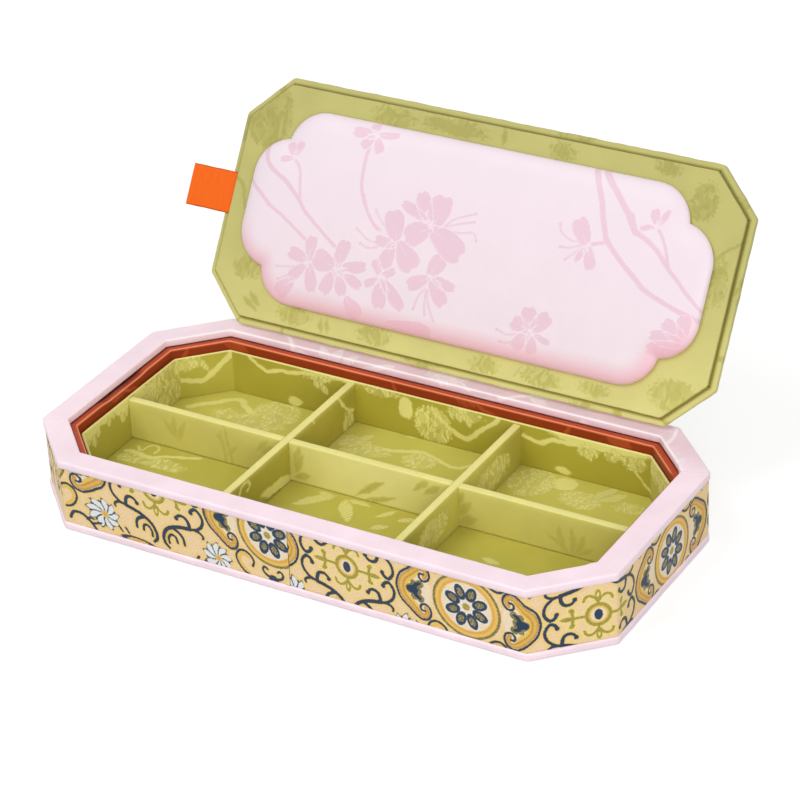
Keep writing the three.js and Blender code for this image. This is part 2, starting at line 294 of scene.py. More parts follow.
def make_piece(name, points, quads, cloth, material, body, stands_for, layers, caps=(), ride=True):
    """Mesh of one piece in metres. All faces are turned round together if they look inwards: if the
    sum over them of (place - middle) times their area normal is below nought."""
    a, b, c, d = (points[quads[:, k]] for k in range(4))
    normal = np.cross(c - a, d - b)
    if np.einsum("ij,ij", (a + b + c + d) / 4 - points.mean(0), normal) < 0:
        quads, caps = quads[:, ::-1], [cap[::-1] for cap in caps]
    sizes = np.concatenate([np.full(len(quads), 4), [len(cap) for cap in caps]]).astype(np.int32)
    corners = np.concatenate([quads.ravel(), *caps]).astype(np.int32)
    mesh = bpy.data.meshes.new(name)
    mesh.vertices.add(len(points))
    mesh.vertices.foreach_set("co", (points * MM).astype(np.float32).ravel())
    mesh.loops.add(len(corners))
    mesh.loops.foreach_set("vertex_index", corners)
    mesh.polygons.add(len(sizes))
    mesh.polygons.foreach_set("loop_start", (np.cumsum(sizes) - sizes).astype(np.int32))
    mesh.polygons.foreach_set("use_smooth", np.ones(len(sizes), bool))
    mesh.update(calc_edges=True)
    mesh.validate()
    place = np.column_stack([cloth, np.zeros(len(cloth))])
    mesh.attributes.new("cloth", "FLOAT_VECTOR", "POINT").data.foreach_set(
        "vector", place.astype(np.float32).ravel())
    for layer, values in layers.items():
        mesh.attributes.new(layer, "FLOAT", "POINT").data.foreach_set(
            "value", np.broadcast_to(np.ravel(values), len(points)).astype(np.float32))
    mesh.materials.append(material)
    piece = bpy.data.objects.new(name, mesh)
    bpy.context.scene.collection.objects.link(piece)
    if ride:
        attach(piece, body)
    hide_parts(*stands_for)
    return piece


# Woven figures, as signed distances in millimetres: below nought inside a figure.

FAR = 4.0
PLAIN = {"figure": FAR, "vein": FAR, "cluster": FAR}


def curve(points, steps=9):
    """Smooth row of points through the given ones: on each span a cubic whose end slopes are half
    the step between the neighbours."""
    p = np.asarray(points, float)
    p = np.vstack([2 * p[0] - p[1], p, 2 * p[-1] - p[-2]])
    t = np.linspace(0, 1, steps, endpoint=False)[:, None, None]
    a, b, c, d = p[:-3], p[1:-2], p[2:-1], p[3:]
    spans = b + 0.5 * t * (c - a + t * (2 * a - 5 * b + 4 * c - d + t * (3 * (b - c) + d - a)))
    return np.vstack([spans.transpose(1, 0, 2).reshape(-1, p.shape[1]), p[-2]])


def near_to(x, y, low, high):
    """Which places lie within reach of a box from its low to its high corner."""
    return (x > low[0] - FAR) & (x < high[0] + FAR) & (y > low[1] - FAR) & (y < high[1] + FAR)


def stroke(x, y, points, first, last=None):
    """Distance to a tapered line: the least, over its short straight pieces, of the distance to the
    piece less half its width there. The width runs evenly from first to last."""
    line = curve(points)
    half = np.linspace(first, first if last is None else last, len(line)) / 2
    near = near_to(x, y, line.min(0), line.max(0))
    px, py = x[near], y[near]
    least = np.full(px.shape, FAR)
    for (ax, ay), (dx, dy), wa, wb in zip(line, np.diff(line, axis=0), half, half[1:]):
        t = np.clip(((px - ax) * dx + (py - ay) * dy) / (dx * dx + dy * dy), 0, 1)
        least = np.minimum(least, np.hypot(px - ax - t * dx, py - ay - t * dy) - wa - t * (wb - wa))
    distance = np.full(x.shape, FAR)
    distance[near] = least
    return distance


def disc(x, y, cx, cy, radius):
    """Distance to a round spot."""
    return np.hypot(x - cx, y - cy) - radius


def oval(x, y, cx, cy, along, across, angle=0.0):
    """Distance to an oval, close to its edge: one less than its scaled radius, times its half width."""
    c, s = np.cos(angle), np.sin(angle)
    u, v = c * (x - cx) + s * (y - cy), c * (y - cy) - s * (x - cx)
    return (np.hypot(u / along, v / across) - 1) * min(along, across)


def laid_along(x, y, x0, y0, x1, y1):
    """Places as seen from a line: the length of the line, the way along it and the way across it."""
    length = np.hypot(x1 - x0, y1 - y0)
    c, s = (x1 - x0) / length, (y1 - y0) / length
    return length, c * (x - x0) + s * (y - y0), c * (y - y0) - s * (x - x0)


def petal(x, y, x0, y0, x1, y1, width):
    """Distance to a petal from its foot to its tip: half width times the root of the way along,
    closed by a round tip with a shallow notch in its middle."""
    length, u, v = laid_along(x, y, x0, y0, x1, y1)
    t = np.clip(u / length, 0, 1)
    half = width * np.sqrt(t) * np.sqrt(np.clip(1 - t ** 4, 0, 1))
    tip = length * (1 - 0.06 * np.exp(-(v / (0.22 * width)) ** 2))
    return np.minimum(0.8 * np.maximum(np.abs(v) - half, np.maximum(u - tip, -u)), FAR)


def leaf(x, y, x0, y0, x1, y1, width):
    """Distance to a pointed leaf from its stalk to its tip, and to the fine ribs along it. Its half
    width is the width times four t (1 - t), where t is the way along."""
    length, u, v = laid_along(x, y, x0, y0, x1, y1)
    t = np.clip(u / length, 0, 1)
    shape = np.maximum(np.abs(v) - width * 4 * t * (1 - t), np.maximum(-u, u - length))
    ribs = np.abs((v + 0.35 * u) % 0.9 - 0.45)
    return np.minimum(shape, FAR), np.where(shape < -0.1, ribs, np.abs(shape))


def inside(x, y, outline):
    """Distance to a closed outline's edge, below nought inside: a point is inside if a line from it
    crosses the outline an odd number of times."""
    line = np.vstack([outline, outline[:1]])
    odd = np.zeros(x.shape, bool)
    for (ax, ay), (bx, by) in zip(line, line[1:]):
        if ay != by:
            odd ^= ((ay > y) != (by > y)) & (x < ax + (y - ay) * (bx - ax) / (by - ay))
    edge = np.full(x.shape, FAR)
    for (ax, ay), (bx, by) in zip(line, line[1:]):
        dx, dy = bx - ax, by - ay
        t = np.clip(((x - ax) * dx + (y - ay) * dy) / (dx * dx + dy * dy + 1e-9), 0, 1)
        edge = np.minimum(edge, np.hypot(x - ax - t * dx, y - ay - t * dy))
    return np.where(odd, -edge, edge)


def either(*shapes):
    """Distance to the nearest of several figures."""
    return np.minimum.reduce(shapes)


def sample(layer, step, u, v):
    """Value of a woven layer at cloth place (u, v): its four nearest samples blended in straight
    lines, repeating past its ends."""
    rows, cols = layer.shape
    fu, fv = u / step, v / step
    iu, iv = np.floor(fu).astype(int), np.floor(fv).astype(int)
    tu, tv = fu - iu, fv - iv
    i0, i1, j0, j1 = iv % rows, (iv + 1) % rows, iu % cols, (iu + 1) % cols
    low = layer[i0, j0] * (1 - tu) + layer[i0, j1] * tu
    high = layer[i1, j0] * (1 - tu) + layer[i1, j1] * tu
    return low * (1 - tv) + high * tv


def medallion_layers(x, y):
    """The brocade's medallion about (0, 0): rings round a pale field with an eight-petalled flower."""
    r = np.hypot(x, 1.06 * y)
    bearings = np.radians([22.5, 67.5])
    flower = either(*(oval(x, y, 5.6 * np.cos(a), 5.6 * np.sin(a), 3.0, 1.95, a) for a in bearings))
    return {"cream": r - 9.5, "gold": np.abs(r - 11.0) - 1.1, "orange": np.abs(r - 10.3) - 0.5,
            "moss": either(np.abs(r - 12.5) - 0.5, flower + 0.9), "olive": r - 1.4,
            "white": np.abs(flower - 0.22) - 0.12, "navy": np.maximum(flower, -0.9 - flower)}


def bracket_layers(x, y):
    """The brocade's bracket right of the medallion: a scrolled frame with a tuft in its mouth, and a
    curl above it."""
    frame_line = [(27.2, -1), (27.2, 0.4), (26.5, 3.2), (25.2, 5.4), (22.5, 7.7), (20.2, 9.6), (17.9, 10.8),
                  (15.4, 10.2), (14, 7.9), (14.6, 5.4), (16.5, 4.5), (18, 5.6), (17.7, 7.1), (16.4, 7.2)]
    body = [(25.4, -1), (25.4, 0.4), (24.8, 2.7), (23.6, 4.4), (21.2, 6.6), (18.9, 8.6),
            (17, 9.3), (15.7, 8.7), (15.4, 7.4), (16, 6)]
    hem = [(23.8, -1), (23.8, 0.4), (23.2, 2.1), (22.2, 3.4), (20.2, 5.4), (18.7, 7.2)]
    curl = [(8.7, 15), (7.9, 13.3), (8.4, 11.5), (10, 10.2), (11.8, 9.7), (13.4, 10.1), (14.9, 11.4),
            (15.6, 13.2), (15.2, 15), (14.2, 16.7), (12.4, 18.3), (10, 19.2)]
    curl_body = [(9.8, 11.7), (11.4, 11), (12.9, 11.4), (14, 12.7), (14.2, 14.2), (13.4, 15.8), (12, 17.2),
                 (10.4, 18.2)]
    whisker = [(-0.6, 16.8), (0.8, 16.8), (2.6, 16.5), (3.9, 15.4), (4.1, 14.2), (3.1, 13.3), (2, 14)]
    field = inside(x, y, np.vstack([curve(frame_line[:10], 4), [(13, -3), (27.2, -3)]]))
    lobes = either(oval(x, y, 20.4, 0, 3.1, 2.3), disc(x, y, 17.9, 2.9, 1.5), disc(x, y, 20.3, 2.6, 1.3))
    heart = either(oval(x, y, 20.9, 0, 2.4, 1.5),
                   stroke(x, y, [(20.6, 0.6), (19.2, 2.4), (17.9, 3)], 1.7, 0.9))
    return {"cream": field, "gold": either(stroke(x, y, hem, 1.4), stroke(x, y, curl_body, 1.5, 1.2)),
            "bronze": stroke(x, y, body, 2.7, 1.6), "moss": lobes,
            "navy": either(stroke(x, y, frame_line, 0.85), heart, stroke(x, y, curl, 0.95, 0.8),
                           stroke(x, y, whisker, 1.1, 0.8), oval(x, y, 0, 17.2, 1.9, 1.5))}


def scroll_layers(x, y):
    """The brocade's vine: hooked scrolls between the bracket and the cross, and a swirling daisy."""
    hook = [(32.9, 2.8), (31.9, 1.3), (30.3, 0.8), (28.8, 2.5), (28.4, 4.5), (29.3, 7), (31.6, 9),
            (34.2, 9.8)]
    hook_back = [(34.2, 9.8), (34.3, 8), (35.1, 6.2), (36.9, 5.6), (38.4, 6.3), (39.1, 7.5)]
    hook_tail = [(32.4, 9.4), (30.6, 9.6), (29.2, 10.7), (29.4, 11.8)]
    vine = [(34.2, 9.8), (38, 10.6), (41.5, 11.9), (44.2, 14), (45.6, 17), (45.4, 19.5), (44, 21)]
    vine_back = [(41.5, 12), (39, 13.2), (37.6, 15), (37.4, 17.4)]
    vine_inner = [(40.2, 17.6), (40.6, 15.6), (42.2, 15.1), (43.6, 16.8), (43.6, 19)]
    low_hook = [(11.1, 23.4), (12.7, 20.8), (15.9, 20.2), (17.7, 21.4), (19.1, 23.2), (20, 25)]
    low_sprigs = [[(17.7, 21.8), (18.6, 20.8), (19.7, 20.9)], [(19.1, 22.9), (20.4, 22.2), (21.9, 21.4)],
                  [(29.6, 20.2), (30.6, 21.6)], [(32.2, 19.6), (33.4, 21.4)]]
    scrolls = either(stroke(x, y, hook, 1.3, 1.0), disc(x, y, 32.7, 2.7, 0.85),
                     stroke(x, y, hook_back, 1.5, 0.9), disc(x, y, 39.1, 7.4, 0.85),
                     stroke(x, y, hook_tail, 1.2, 0.8), stroke(x, y, vine, 1.5, 1.1),
                     stroke(x, y, vine_back, 1.3, 1.0), stroke(x, y, vine_inner, 1.0, 0.9),
                     stroke(x, y, low_hook, 1.2, 0.9),
                     *(stroke(x, y, sprig, 0.9, 0.7) for sprig in low_sprigs))
    lining = stroke(x, y, [(41.8, 13.4), (43.4, 14.6), (44.6, 16.8), (44.5, 19.4)], 1.0, 1.2)
    petals, petal_reach, heart = 9, 5.2, 1.4
    dx, dy = x - 24, y - 16.9
    reach = np.hypot(dx, dy)
    swirl = (np.arctan2(dy, dx) + 0.09 * reach) * petals / (2 * np.pi)
    between = np.abs(swirl - np.floor(swirl) - 0.5)
    daisy = reach - petal_reach - 0.9 * np.cos(2 * np.pi * swirl + np.pi)
    rays = np.maximum((0.5 - between) * reach * 2 * np.pi / petals - 0.22,
                      np.maximum(reach - petal_reach, heart - reach))
    scallop = oval(x, y, 37, 23.6, 6.2, 1.4)
    return {"gold": either(reach - heart, scallop, lining), "orange": either(reach - 0.9, scallop + 0.7),
            "white": np.maximum(daisy, heart - reach),
            "navy": either(scrolls, np.abs(daisy) - 0.22, rays, np.abs(scallop) - 0.3)}


def cross_layers(x, y):
    """The brocade's cross about the end of the half repeat: a ring, two arms with pointed clovers, two
    with a bud between whiskers, and a dark eye."""
    a, b = BROCADE_HALF - x, y
    r = np.hypot(a / 1.02, b)
    clover = either(stroke(a, b, [(4.4, 0), (9, 0)], 1.0, 0.9), oval(a, b, 10.8, 0, 2.4, 0.85),
                    stroke(a, b, [(8.6, 0.2), (9, 1.6), (9.1, 2.4)], 0.9, 1.1),
                    oval(a, b, 9.2, 3.0, 1.1, 0.8, 0.6))
    bud = either(stroke(a, b, [(0, 4.4), (0, 6.4)], 0.9, 0.8), np.abs(oval(a, b, 0, 7.7, 0.75, 1.5)) - 0.28,
                 stroke(a, b, [(0.2, 5.4), (1.4, 6.9), (2.9, 7.7), (4.4, 7.2), (5, 5.9)], 0.8, 1.0))
    eye = oval(a, b, 0, 0, 1.45, 2.1)
    return {"gold": np.abs(r - 3.1) - 0.35, "olive": either(np.abs(r - 4.0) - 0.6, clover, bud),
            "cream": r - 2.7, "navy": eye}


BROCADE_STEP = 0.125
BROCADE_YARNS = ("cream", "orange", "gold", "bronze", "olive", "moss", "white", "navy")


def brocade_layers(x, y):
    """A quarter of the brocade's repeat, from a medallion's middle (0, 0) to a cross's middle: for
    each yarn the distance to its figures."""
    figures = [medallion_layers(x, y), bracket_layers(x, y), scroll_layers(x, y), cross_layers(x, y)]
    return {yarn: either(*(figure[yarn] for figure in figures if yarn in figure)) for yarn in BROCADE_YARNS}


def brocade_at(u, v):
    """The brocade's layers at places measured from a medallion's middle: it mirrors at every
    medallion, every cross and every half row, so places are folded into one quarter."""
    fold_u = np.abs((u + BROCADE_HALF) % (2 * BROCADE_HALF) - BROCADE_HALF)
    fold_v = np.abs((v + BROCADE_ROW) % (2 * BROCADE_ROW) - BROCADE_ROW)
    return {name: sample(layer, BROCADE_STEP, fold_u, fold_v) for name, layer in BROCADE.items()}


DAMASK_SIZE = (160.0, 120.0)
DAMASK_STEP = 0.3


def wavering(x, y, amount):
    """Places moved aside by about the amount, along waves of unrelated lengths, so that figures laid
    over them look drawn by hand."""
    aside = np.sin(0.53 * y + 1.2 * np.sin(0.37 * x)) + 0.4 * np.sin(1.7 * y + 0.7 * x)
    onward = np.sin(0.49 * x + 1.2 * np.sin(0.41 * y)) + 0.4 * np.sin(1.5 * x - 0.6 * y)
    return x + amount * aside, y + amount * onward


def garden(x, y, boughs=(), grains=(), leaves=(), patches=(), waver=0.3):
    """Woven garden figures, given one by one: boughs as tapered lines, clusters of grains as ovals that
    the cloth's own cells break up, pointed leaves, and plain ovals. Gives the distances to the solid
    figures, to the fine lines on them and to the clusters."""
    x, y = wavering(x, y, waver)
    figure, vein, cluster = np.full((3,) + x.shape, FAR)
    for points, first, last in boughs:
        figure = np.minimum(figure, stroke(x, y, points, first, last))
    for cx, cy, rx, ry in grains:
        cluster = np.minimum(cluster, oval(x, y, cx, cy, rx, ry))
    for x0, y0, x1, y1, width in leaves:
        near = near_to(x, y, np.minimum((x0, y0), (x1, y1)), np.maximum((x0, y0), (x1, y1)))
        shape, lines = leaf(x[near], y[near], x0, y0, x1, y1, width)
        figure[near], vein[near] = np.minimum(figure[near], shape), np.minimum(vein[near], lines)
    for patch in patches:
        figure = np.minimum(figure, oval(x, y, *patch))
    return {"figure": figure, "vein": vein, "cluster": cluster}


# Garden figures of one repeat of the damask, and of the faces that show their own stretch of it. A
# bough has its points and its widths at both ends, a cluster of grains its middle and half sizes, a
# leaf its stalk, tip and half width.
REPEAT = dict(
    boughs=[([(0, 18), (22, 26), (40, 22), (55, 32), (74, 30), (92, 40)], 3.0, 1.4),
            ([(40, 22), (48, 12), (60, 8)], 1.8, 0.9), ([(55, 32), (60, 46), (72, 54)], 1.8, 0.9),
            ([(96, 116), (104, 98), (120, 90), (132, 76), (150, 72), (168, 64)], 3.0, 1.4),
            ([(120, 90), (122, 106), (134, 114)], 1.8, 0.9), ([(132, 76), (126, 64), (130, 52)], 1.8, 0.9),
            ([(14, 84), (36, 76), (46, 86), (64, 84)], 2.6, 1.2), ([(36, 76), (40, 64), (52, 60)], 1.6, 0.9),
            ([(104, 14), (118, 22), (134, 16)], 2.2, 0.9)],
    grains=[(60, 8, 8, 5), (74, 56, 9, 6), (95, 42, 7, 6), (136, 114, 8, 4), (131, 50, 7, 7), (67, 84, 8, 5),
            (53, 59, 6, 4), (14, 84, 8, 6), (104, 98, 5, 5), (8, 62, 6, 6), (30, 44, 8, 4), (138, 15, 8, 5),
            (86, 102, 6, 4), (20, 108, 8, 5)],
    leaves=[(22, 26, 14, 16, 2.2), (23, 26, 22, 12, 2.2), (24, 26, 31, 15, 2.2), (74, 30, 80, 20, 2.4),
            (75, 31, 88, 25, 2.4), (76, 32, 90, 33, 2.0), (104, 14, 93, 10, 2.2), (104, 15, 95, 18, 2.0),
            (46, 86, 50, 97, 2.4), (47, 86, 58, 94, 2.2), (150, 88, 159, 95, 2.4), (150, 90, 152, 102, 2.2),
            (112, 66, 101, 68, 2.2), (112, 64, 103, 59, 2.0), (150, 34, 154, 46, 2.2),
            (148, 34, 145, 45, 2.0)])
FLOOR_GARDEN = dict(
    boughs=[([(-95, 27), (-88, 34), (-81, 39), (-76, 36), (-71, 32)], 3.0, 2.4),
            ([(-17, 31), (-7, 33.4), (0.5, 36), (8.3, 33), (16, 32), (21, 36)], 2.2, 1.6),
            ([(-98, -9.7), (-88, -10.2), (-83, -7.5), (-76, -5.2), (-71, -2.6)], 2.6, 1.4),
            ([(-97, -5), (-93.5, -8), (-92.5, -3.5), (-88.5, -3.5), (-87.5, -7.5)], 1.0, 0.9)],
    grains=[(-63, 36, 9.5, 9), (-67, 28, 12, 4.5), (-79, 28, 6, 3.5), (-27, 29, 9, 6), (-17, 28.5, 7, 4),
            (1.7, 30, 6.5, 5), (45, 35, 8.5, 9.5), (66, 32, 8, 5.5), (83.5, 34.5, 6, 3.5),
            (-81, -12.5, 9, 3.5), (-94, -14, 6, 3)],
    leaves=[(70, 34, 74, 45, 2.4), (72, 34, 80, 42, 2.2), (-26, 33, -22, 39, 1.8), (-13, -3, -25, -15, 2.6),
            (-9.5, -3, -0.5, -17, 2.6), (-20.5, -3, -13, -5.5, 1.4), (-9, -3, 2, -4.5, 1.2),
            (7, -9.5, 11.5, -3, 1.6), (15, -8, 20, -4, 1.6), (8, -17, 14, -12, 1.6),
            (-12, 43, -5.5, 45.5, 1.2), (52, -15, 60, -17, 1.4)],
    patches=[(56.4, 39, 4.8, 4.2)])
REAR_GARDEN = dict(
    boughs=[([(8, 21), (13, 18.5), (17, 17), (22, 18.4), (30, 19.5), (37, 20.5)], 1.4, 1.8),
            ([(87, 18), (93, 13), (98, 10), (100.5, 9.3), (104, 11.5), (107, 15), (111, 17.5), (114, 21)],
             2.2, 1.8),
            ([(124, 17), (131, 16), (136, 18), (143, 18.8), (151, 19)], 1.8, 2.0),
            ([(167, 16), (171, 11), (175, 6)], 1.2, 0.9)],
    grains=[(38, 20.3, 7, 2.4), (65, 20.5, 8, 2.2), (87, 12, 8, 7.5), (150, 17.5, 4, 3), (160, 18, 3.6, 2.6),
            (168, 17, 4.5, 3.4), (100, 19.5, 7, 2.6)],
    leaves=[(39, 18.5, 42.8, 13, 1.5), (36.5, 19, 38.5, 14.5, 1.2), (97, 20, 99, 15.3, 1.2),
            (100.5, 20, 102.8, 14.3, 1.3), (94, 20, 96, 16.3, 1.1), (149, 18, 151.5, 12.8, 1.2),
            (146.5, 18.5, 148, 14.5, 1.0), (159, 18, 161, 15, 1.0), (167, 17, 169.5, 13.5, 1.1)],
    patches=[(155, 21, 20, 2.2), (75.7, 16.2, 3.1, 4.8), (27.8, 7, 3.4, 1.9), (139.5, 6.6, 3.2, 1.3),
             (45, 21.5, 10, 1.2)])
LEFT_GARDEN = dict(
    grains=[(49, 13, 14, 12)],
    leaves=[(4.5, 18.5, 6.8, 12.8, 1.5), (8, 19.5, 9.2, 15, 1.3), (1.5, 18.5, 2.5, 14.5, 1.3),
            (15, 20.5, 16, 16.5, 1.2), (18, 20.5, 18.6, 17.5, 1.0), (22, 18.5, 25.2, 13.2, 1.6),
            (26.2, 19, 26.8, 14.6, 1.1)],
    patches=[(4, 20, 6, 3), (14, 21.2, 8, 2), (24, 20, 5, 2.8), (36, 19, 5, 3.5), (42.5, 16.5, 3.4, 4)])
BACK_LEFT_GARDEN = dict(
    boughs=[([(-1, 13.2), (6, 11.8), (10, 11), (14, 14), (18, 17.5), (22, 21)], 2.0, 2.4)],
    grains=[(5, 19, 5.5, 2.6)], leaves=[(9, 20, 12.5, 14.6, 1.3)])
BACK_RIGHT_GARDEN = dict(grains=[(6, 18, 6, 4), (15, 16, 6, 6)], leaves=[(9, 19.5, 12, 13, 1.6)])
LONG_DIVIDER_GARDEN = dict(
    boughs=[([(44, 5), (43, 10), (42.5, 15), (41, 20.5)], 1.3, 1.0),
            ([(41, 6), (40.5, 12), (39.5, 18)], 1.0, 0.8)],
    leaves=[(20, 10, 15, 17, 1.2), (20, 9, 19, 18.5, 1.2), (21, 9, 24.5, 18, 1.3), (42, 9, 46, 13, 1.0),
            (41.5, 13, 37.5, 16.5, 1.0), (55, 14, 60, 19, 1.2), (57, 13.5, 63, 17, 1.1),
            (71, 9, 74.5, 17, 1.6), (70, 6.5, 77, 9, 1.3), (71, 13, 73, 20, 1.2), (96, 6, 108, 15, 1.3),
            (100, 5.5, 112, 9, 1.0), (120, 15, 126, 20, 1.3), (124, 14, 131, 19.5, 1.4),
            (137, 6, 145, 10, 1.6), (138, 9, 143, 16.5, 1.6), (137.5, 12, 139.5, 20, 1.2),
            (178, 6, 177, 16, 1.2), (182, 6, 182, 17, 1.2), (183, 6, 187, 15, 1.2), (181, 6, 172, 12, 1.0),
            (184, 6, 190, 10, 1.0)])
CROSS_LEFT_GARDEN = dict(
    boughs=[([(77, 21), (80, 17), (83, 13), (87, 10.5)], 1.4, 1.1),
            ([(10, 16.5), (12, 19.5), (15, 19.8), (17, 17.5), (15, 16.2)], 1.4, 0.9)],
    grains=[(83, 9, 3.4, 4.5)],
    leaves=[(81.5, 12, 79.8, 5.5, 1.2), (84, 12, 86, 5, 1.2), (59, 21, 60.5, 18.5, 0.9)],
    patches=[(33.5, 7.6, 10.5, 2.1, -0.12)])
CROSS_RIGHT_GARDEN = dict(grains=[(25, 13, 10, 5), (68, 12, 12, 5)], leaves=[(44, 6, 52, 14, 1.2)])
LID_GARDEN = dict(
    boughs=[([(94, -14), (98, -18), (103, -22)], 0.9, 0.8), ([(-104, -8), (-98, -3), (-95, 4)], 1.4, 1.0)],
    grains=[(-93, -31, 9, 12), (-88, 26, 6, 4.5), (-64, 39.5, 7, 3), (-29.5, 40, 6.5, 3.2),
            (16.5, 40.5, 6, 3), (39.5, 40.5, 8.5, 3), (60.5, 40, 6, 2.5), (90, 35.5, 9, 5.5),
            (-42.5, -40, 8.5, 3.6), (-17, -40.5, 13, 3), (27, -40, 5.5, 3), (69, -41.5, 4.5, 2.5),
            (85, -33, 5, 7), (97, -6, 3, 8)],
    leaves=[(-87, 37, -80, 41, 1.2), (-85, 34, -79, 39, 1.2), (-52.5, 38, -51.5, 43, 0.9),
            (-50, 38, -49, 43, 0.8), (3, -44, 3.5, -37, 1.1), (-30, -42, -8, -38.5, 2.2)])


def damask_layers(x, y):
    """One repeat of the garden damask, with its neighbours' figures where they reach into it."""
    layers = []
    for sx in (-DAMASK_SIZE[0], 0, DAMASK_SIZE[0]):
        for sy in (-DAMASK_SIZE[1], 0, DAMASK_SIZE[1]):
            layers.append(garden(x + sx, y + sy, **REPEAT))
    return {name: either(*(layer[name] for layer in layers)) for name in layers[0]}


def damask_at(u, v):
    """The damask's layers at cloth places."""
    return {name: sample(layer, DAMASK_STEP, u, v) for name, layer in DAMASK.items()}


def places(width, height, step):
    """Even places over a rectangle, as two arrays."""
    return np.meshgrid(np.arange(0, width, step), np.arange(0, height, step))


BROCADE = brocade_layers(*places(BROCADE_HALF + 0.5, BROCADE_ROW + 0.5, BROCADE_STEP))
DAMASK = damask_layers(*places(*DAMASK_SIZE, DAMASK_STEP))


# Materials. The cloth attribute is in millimetres, so the scale of a texture laid on it is about one
# over the size of the texture's features in millimetres.


def linear(hex_colour):
    """Linear RGBA of an sRGB hex colour."""
    s = np.array([int(hex_colour[k:k + 2], 16) for k in (1, 3, 5)]) / 255
    return (*np.where(s <= 0.04045, s / 12.92, ((s + 0.055) / 1.055) ** 2.4).tolist(), 1.0)


def add(tree, kind, inputs=(), **settings):
    """Adds one node: settings are its own values, inputs its sockets, each a value or an output."""
    node = tree.nodes.new("ShaderNode" + kind)
    for key, value in settings.items():
        setattr(node, key, value)
    for key, value in dict(inputs).items():
        if isinstance(value, bpy.types.NodeSocket):
            tree.links.new(value, node.inputs[key])
        else:
            node.inputs[key].default_value = value
    return node


def new_material(name):
    """An empty material and its nodes."""
    material = bpy.data.materials.new(name)
    material.use_nodes = True
    material.node_tree.nodes.clear()
    return material, material.node_tree


def attribute(tree, name, output="Fac"):
    """A value that every point of a piece carries."""
    return add(tree, "Attribute", attribute_name=name).outputs[output]


def calculate(tree, operation, *values, kind="Math"):
    """One step of arithmetic on numbers, or on places with the kind VectorMath."""
    return add(tree, kind, dict(enumerate(values)), operation=operation).outputs[0]


def ramp(tree, value, start, end, low=0.0, high=1.0):
    """Even change from low, where the value is at the start, to high, where it is at the end."""
    return add(tree, "MapRange", {"Value": value, "From Min": start, "From Max": end, "To Min": low,
                                  "To Max": high}).outputs[0]


def noise(tree, place, scale, detail=2.0, roughness=0.5, output="Fac"):
    """Cloudy noise about one half."""
    return add(tree, "TexNoise", {"Vector": place, "Scale": scale, "Detail": detail,
                                  "Roughness": roughness}).outputs[output]


def mix(tree, share, first, second):
    """The first colour where the share is nought and the second where it is one."""
    return add(tree, "Mix", {0: share, 6: first, 7: second}, data_type="RGBA").outputs[2]


def shaded(tree, colour, tone):
    """A colour times a tone."""
    return add(tree, "VectorMath", {0: colour, "Scale": tone}, operation="SCALE").outputs[0]


def bump(tree, height, depth, strength):
    """Normals of a surface that rises by the depth, in metres, where the height is one."""
    return add(tree, "Bump", {"Height": height, "Distance": depth, "Strength": strength}).outputs[0]


def surface(tree, colour, roughness, normal, specular, sheen=0.0, sheen_roughness=0.5):
    """Gives the material its surface."""
    shader = add(tree, "BsdfPrincipled", {
        "Base Color": colour, "Roughness": roughness, "Normal": normal, "Specular IOR Level": specular,
        "Sheen Weight": sheen, "Sheen Roughness": sheen_roughness})
    add(tree, "OutputMaterial", {0: shader.outputs[0]})


def weave_height(tree, cloth, thread):
    """Over-and-under of a plain weave: the product of a sine along the warp and one along the weft,
    each a full turn in two threads. Real threads are finer than a pixel, so they are drawn coarser."""
    turn = np.pi / thread
    scaled = calculate(tree, "MULTIPLY", cloth, (turn, turn, turn), kind="VectorMath")
    parts = add(tree, "SeparateXYZ", {0: calculate(tree, "SINE", scaled, kind="VectorMath")})
    return calculate(tree, "MULTIPLY", parts.outputs[0], parts.outputs[1])


def broken_edge(tree, cloth, distance, amount, soft):
    """One inside a figure and nought outside. Its edge is moved in and out by noise of that amount, in
    millimetres, and is twice as wide as soft."""
    moved = calculate(tree, "MULTIPLY_ADD", noise(tree, cloth, 0.7, 3.0, 0.6), 2 * amount, distance)
    return ramp(tree, moved, amount + soft, amount - soft)


def grain_cells(tree, cloth):
    """Long cells of about the size of a woven grain that flow along slow waves, and of which some are
    left out: one on the kept grains, and one on the lines between cells."""
    settings = {"voronoi_dimensions": "2D"}
    drift = noise(tree, cloth, 0.13, 1.0, output="Color")
    flowing = calculate(tree, "MULTIPLY_ADD", drift, (7, 7, 0), cloth, kind="VectorMath")
    long_way = calculate(tree, "MULTIPLY", flowing, (1.0, 0.5, 1.0), kind="VectorMath")
    place = {"Vector": long_way, "Scale": 0.75}
    border = add(tree, "TexVoronoi", place, feature="DISTANCE_TO_EDGE", **settings).outputs["Distance"]
    chance = add(tree, "TexVoronoi", place, feature="F1", **settings).outputs["Color"]
    return ramp(tree, chance, 0.2, 0.6, 0.3, 1.0), ramp(tree, border, 0.16, 0.02, 0.0, 0.4)


